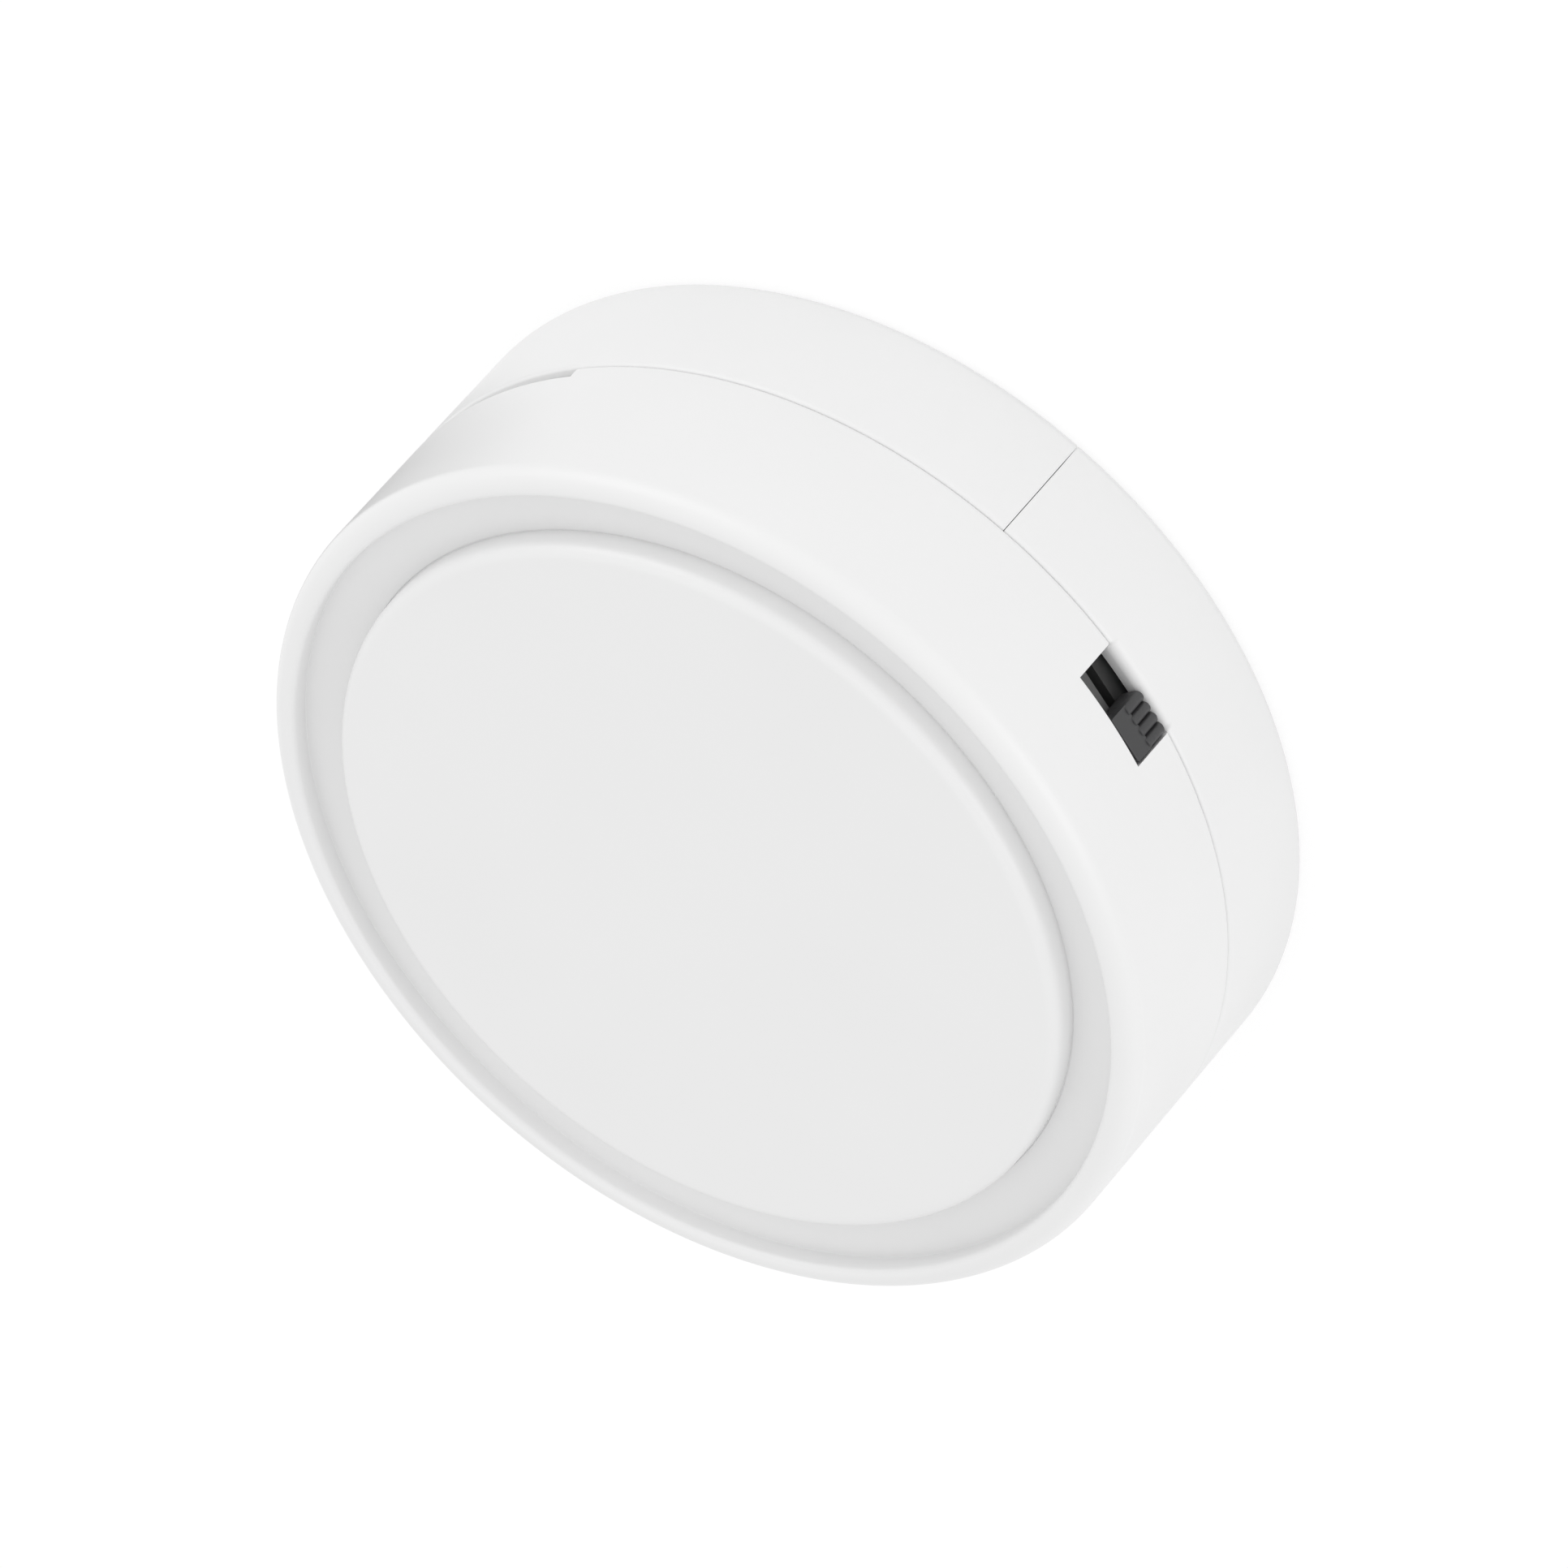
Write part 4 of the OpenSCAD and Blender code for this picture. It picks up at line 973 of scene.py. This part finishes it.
def floor_paint(tree):
    """Matt pale paint, mostly replaced by plain white on the rays that see the floor."""
    paint = add(tree, "BsdfPrincipled",
                {"Base Color": colours().floor, "Roughness": 0.9, "Specular IOR Level": 0.0})
    white = add(tree, "Emission", {"Color": WHITE, "Strength": FLOOR_WHITE})
    share = add(tree, "Math", {1: FLOOR_WHITE_SHARE}, {0: white_when_seen(tree)}, operation="MULTIPLY")
    mix = add(tree, "MixShader", None, {0: (share, "Value"), 1: (paint, "BSDF"), 2: (white, "Emission")})
    return mix, "Shader"


def set_shadow_card():
    """Card of painted shadow that lies on the floor beside the door, pale near the tag and dark farther out.
    Only the glancing reflection in the wall shows it, where it stands in for the floor's shade beside the
    tag."""
    low, high, half = CARD_NEAR, CARD_FAR, CARD_LENGTH / 2
    c, d = math.cos(CARD_TURN), math.sin(CARD_TURN)
    corners = [(low, -half), (high, -half), (high, half), (low, half)]
    mesh = bpy.data.meshes.new("reflected_shadow_card")
    mesh.from_pydata([(c * u - d * v, d * u + c * v, 0) for u, v in corners], [], [(0, 1, 2, 3)])
    card = linked("reflected_shadow_card", mesh)
    mesh.materials.append(new_material("painted_shadow_card", reflected_shadow_paint))
    card.visible_camera = card.visible_diffuse = card.visible_shadow = card.visible_transmission = False


def reflected_shadow_paint(tree):
    """Matt paint of painted shadow that turns from pale to dark along the card's direction."""
    place = add(tree, "TexCoord")
    ahead = (math.cos(CARD_TURN), math.sin(CARD_TURN), 0)
    out = add(tree, "VectorMath", {1: ahead}, {0: (place, "Object")}, operation="DOT_PRODUCT")
    dark = add(tree, "MapRange", {"From Min": CARD_FADE[0], "From Max": CARD_FADE[1]},
               {"Value": (out, "Value")})
    tint = add(tree, "Mix", {"A": colours().card_edge, "B": colours().card},
               {"Factor": (dark, "Result")}, data_type="RGBA")
    shader = add(tree, "BsdfPrincipled", {"Roughness": 0.9}, {"Base Color": (tint, "Result")})
    return shader, "BSDF"


def white_when_seen(tree):
    """Output that is 1 on rays from the camera, from mirrors and through glass, and 0 on those that carry
    light."""
    rays = add(tree, "LightPath")
    first = add(tree, "Math", None, {0: (rays, "Is Camera Ray"), 1: (rays, "Is Glossy Ray")},
                operation="MAXIMUM")
    both = add(tree, "Math", None, {0: (first, "Value"), 1: (rays, "Is Transmission Ray")},
               operation="MAXIMUM")
    return both, "Value"


def softbox(name, azimuth, power):
    """Round soft light that stands low beside the tag, at an azimuth in degrees, and faces it."""
    lamp = bpy.data.lights.new(name, "AREA")
    lamp.shape = "DISK"
    lamp.size = LIGHT_SIZE
    lamp.energy = power
    light = linked(name, lamp)
    a, e = math.radians(azimuth), math.radians(LIGHT_ELEVATION)
    out = Vector((math.cos(a) * math.cos(e), math.sin(a) * math.cos(e), math.sin(e)))
    light.location = out * LIGHT_DISTANCE + Vector((0, 0, LIGHT_AIM))
    light.rotation_euler = out.to_track_quat("Z", "Y").to_euler()


def set_light():
    """Even white dome, with a low soft light at the right and one at the left of the camera."""
    world = bpy.data.worlds.new("studio")
    bpy.context.scene.world = world
    world.use_nodes = True
    tree = world.node_tree
    tree.nodes.clear()
    dome = add(tree, "Background", {"Color": WHITE, "Strength": DOME_STRENGTH})
    backdrop = add(tree, "Background", {"Color": WHITE, "Strength": BACKDROP_STRENGTH})
    mix = add(tree, "MixShader", None,
              {0: white_when_seen(tree), 1: (dome, "Background"), 2: (backdrop, "Background")})
    add(tree, "OutputWorld", None, {"Surface": (mix, "Shader")})
    for name, azimuth, power in SOFTBOXES:
        softbox(name, azimuth, power)


def camera_axes():
    """Right, up and backward directions of the camera in the frame's axes, from its tilt, roll and turn."""
    tilt, roll, turn = (math.radians(v) for v in (CAMERA_TILT, CAMERA_ROLL, CAMERA_TURN))
    out = np.array([0, -1, 0])
    across = np.array([-1, 0, 0])
    axis = np.array([0, 0, 1])
    back = math.sin(tilt) * out + math.cos(tilt) * axis
    fall = math.cos(tilt) * out - math.sin(tilt) * axis
    right = math.cos(roll) * across + math.sin(roll) * fall
    down = math.sin(roll) * across - math.cos(roll) * fall
    spin = np.array([[math.cos(turn), -math.sin(turn), 0], [math.sin(turn), math.cos(turn), 0], [0, 0, 1]])
    return spin @ right, -(spin @ down), spin @ back


def set_camera():
    """Camera at the photograph's angle: it stands on the line through the rear face's centre and is turned so
    that the photograph's middle pixel lies on its axis."""
    right, up, back = camera_axes()
    place = CAMERA_DISTANCE * back
    aim = right * (IMAGE / 2 - CENTRE_PIXEL[0]) - up * (IMAGE / 2 - CENTRE_PIXEL[1]) - back * FOCAL
    z = -aim / np.linalg.norm(aim)
    y = up - z * (up @ z)
    y /= np.linalg.norm(y)
    x = np.cross(y, z)
    data = bpy.data.cameras.new("photo_camera")
    data.sensor_width = SENSOR_WIDTH
    data.lens = SENSOR_WIDTH * FOCAL / IMAGE
    data.clip_start, data.clip_end = CLIP_START, CLIP_END
    camera = linked("photo_camera", data)
    matrix = np.eye(4)
    matrix[:3, :3] = np.stack([x, y, z], -1)
    matrix[:3, 3] = place
    camera.matrix_world = Matrix(matrix.tolist())
    bpy.context.scene.camera = camera


class TAG_PT_panel(bpy.types.Panel):
    """Steps that build the tag, and its sizes and colours"""

    bl_idname = "TAG_PT_panel"
    bl_label = "Vibration sensor tag"
    bl_space_type = "VIEW_3D"
    bl_region_type = "UI"
    bl_category = "Sensor tag"

    def draw(self, context):
        for step in STEPS:
            self.layout.operator(step.bl_idname)
        for group in (context.scene.tag_sizes, context.scene.tag_colours):
            column = self.layout.column(align=True)
            for key in group.bl_rna.properties.keys():
                if key not in ("rna_type", "name"):
                    column.prop(group, key)


STEPS = (TAG_OT_inner_parts, TAG_OT_front_shell, TAG_OT_press_disc, TAG_OT_rear_halves, TAG_OT_slide_switch,
         TAG_OT_stage)
CLASSES = (TagSizes, TagColours, *STEPS, TAG_PT_panel)


def register():
    for item in CLASSES:
        bpy.utils.register_class(item)
    bpy.types.Scene.tag_sizes = bpy.props.PointerProperty(type=TagSizes)
    bpy.types.Scene.tag_colours = bpy.props.PointerProperty(type=TagColours)


def unregister():
    del bpy.types.Scene.tag_sizes
    del bpy.types.Scene.tag_colours
    for item in reversed(CLASSES):
        bpy.utils.unregister_class(item)


def main():
    register()
    bpy.ops.sensor_tag.inner_parts()
    bpy.ops.sensor_tag.front_shell()
    bpy.ops.sensor_tag.press_disc()
    bpy.ops.sensor_tag.rear_halves()
    bpy.ops.sensor_tag.slide_switch()
    bpy.ops.sensor_tag.stage()


if __name__ == "__main__":
    main()
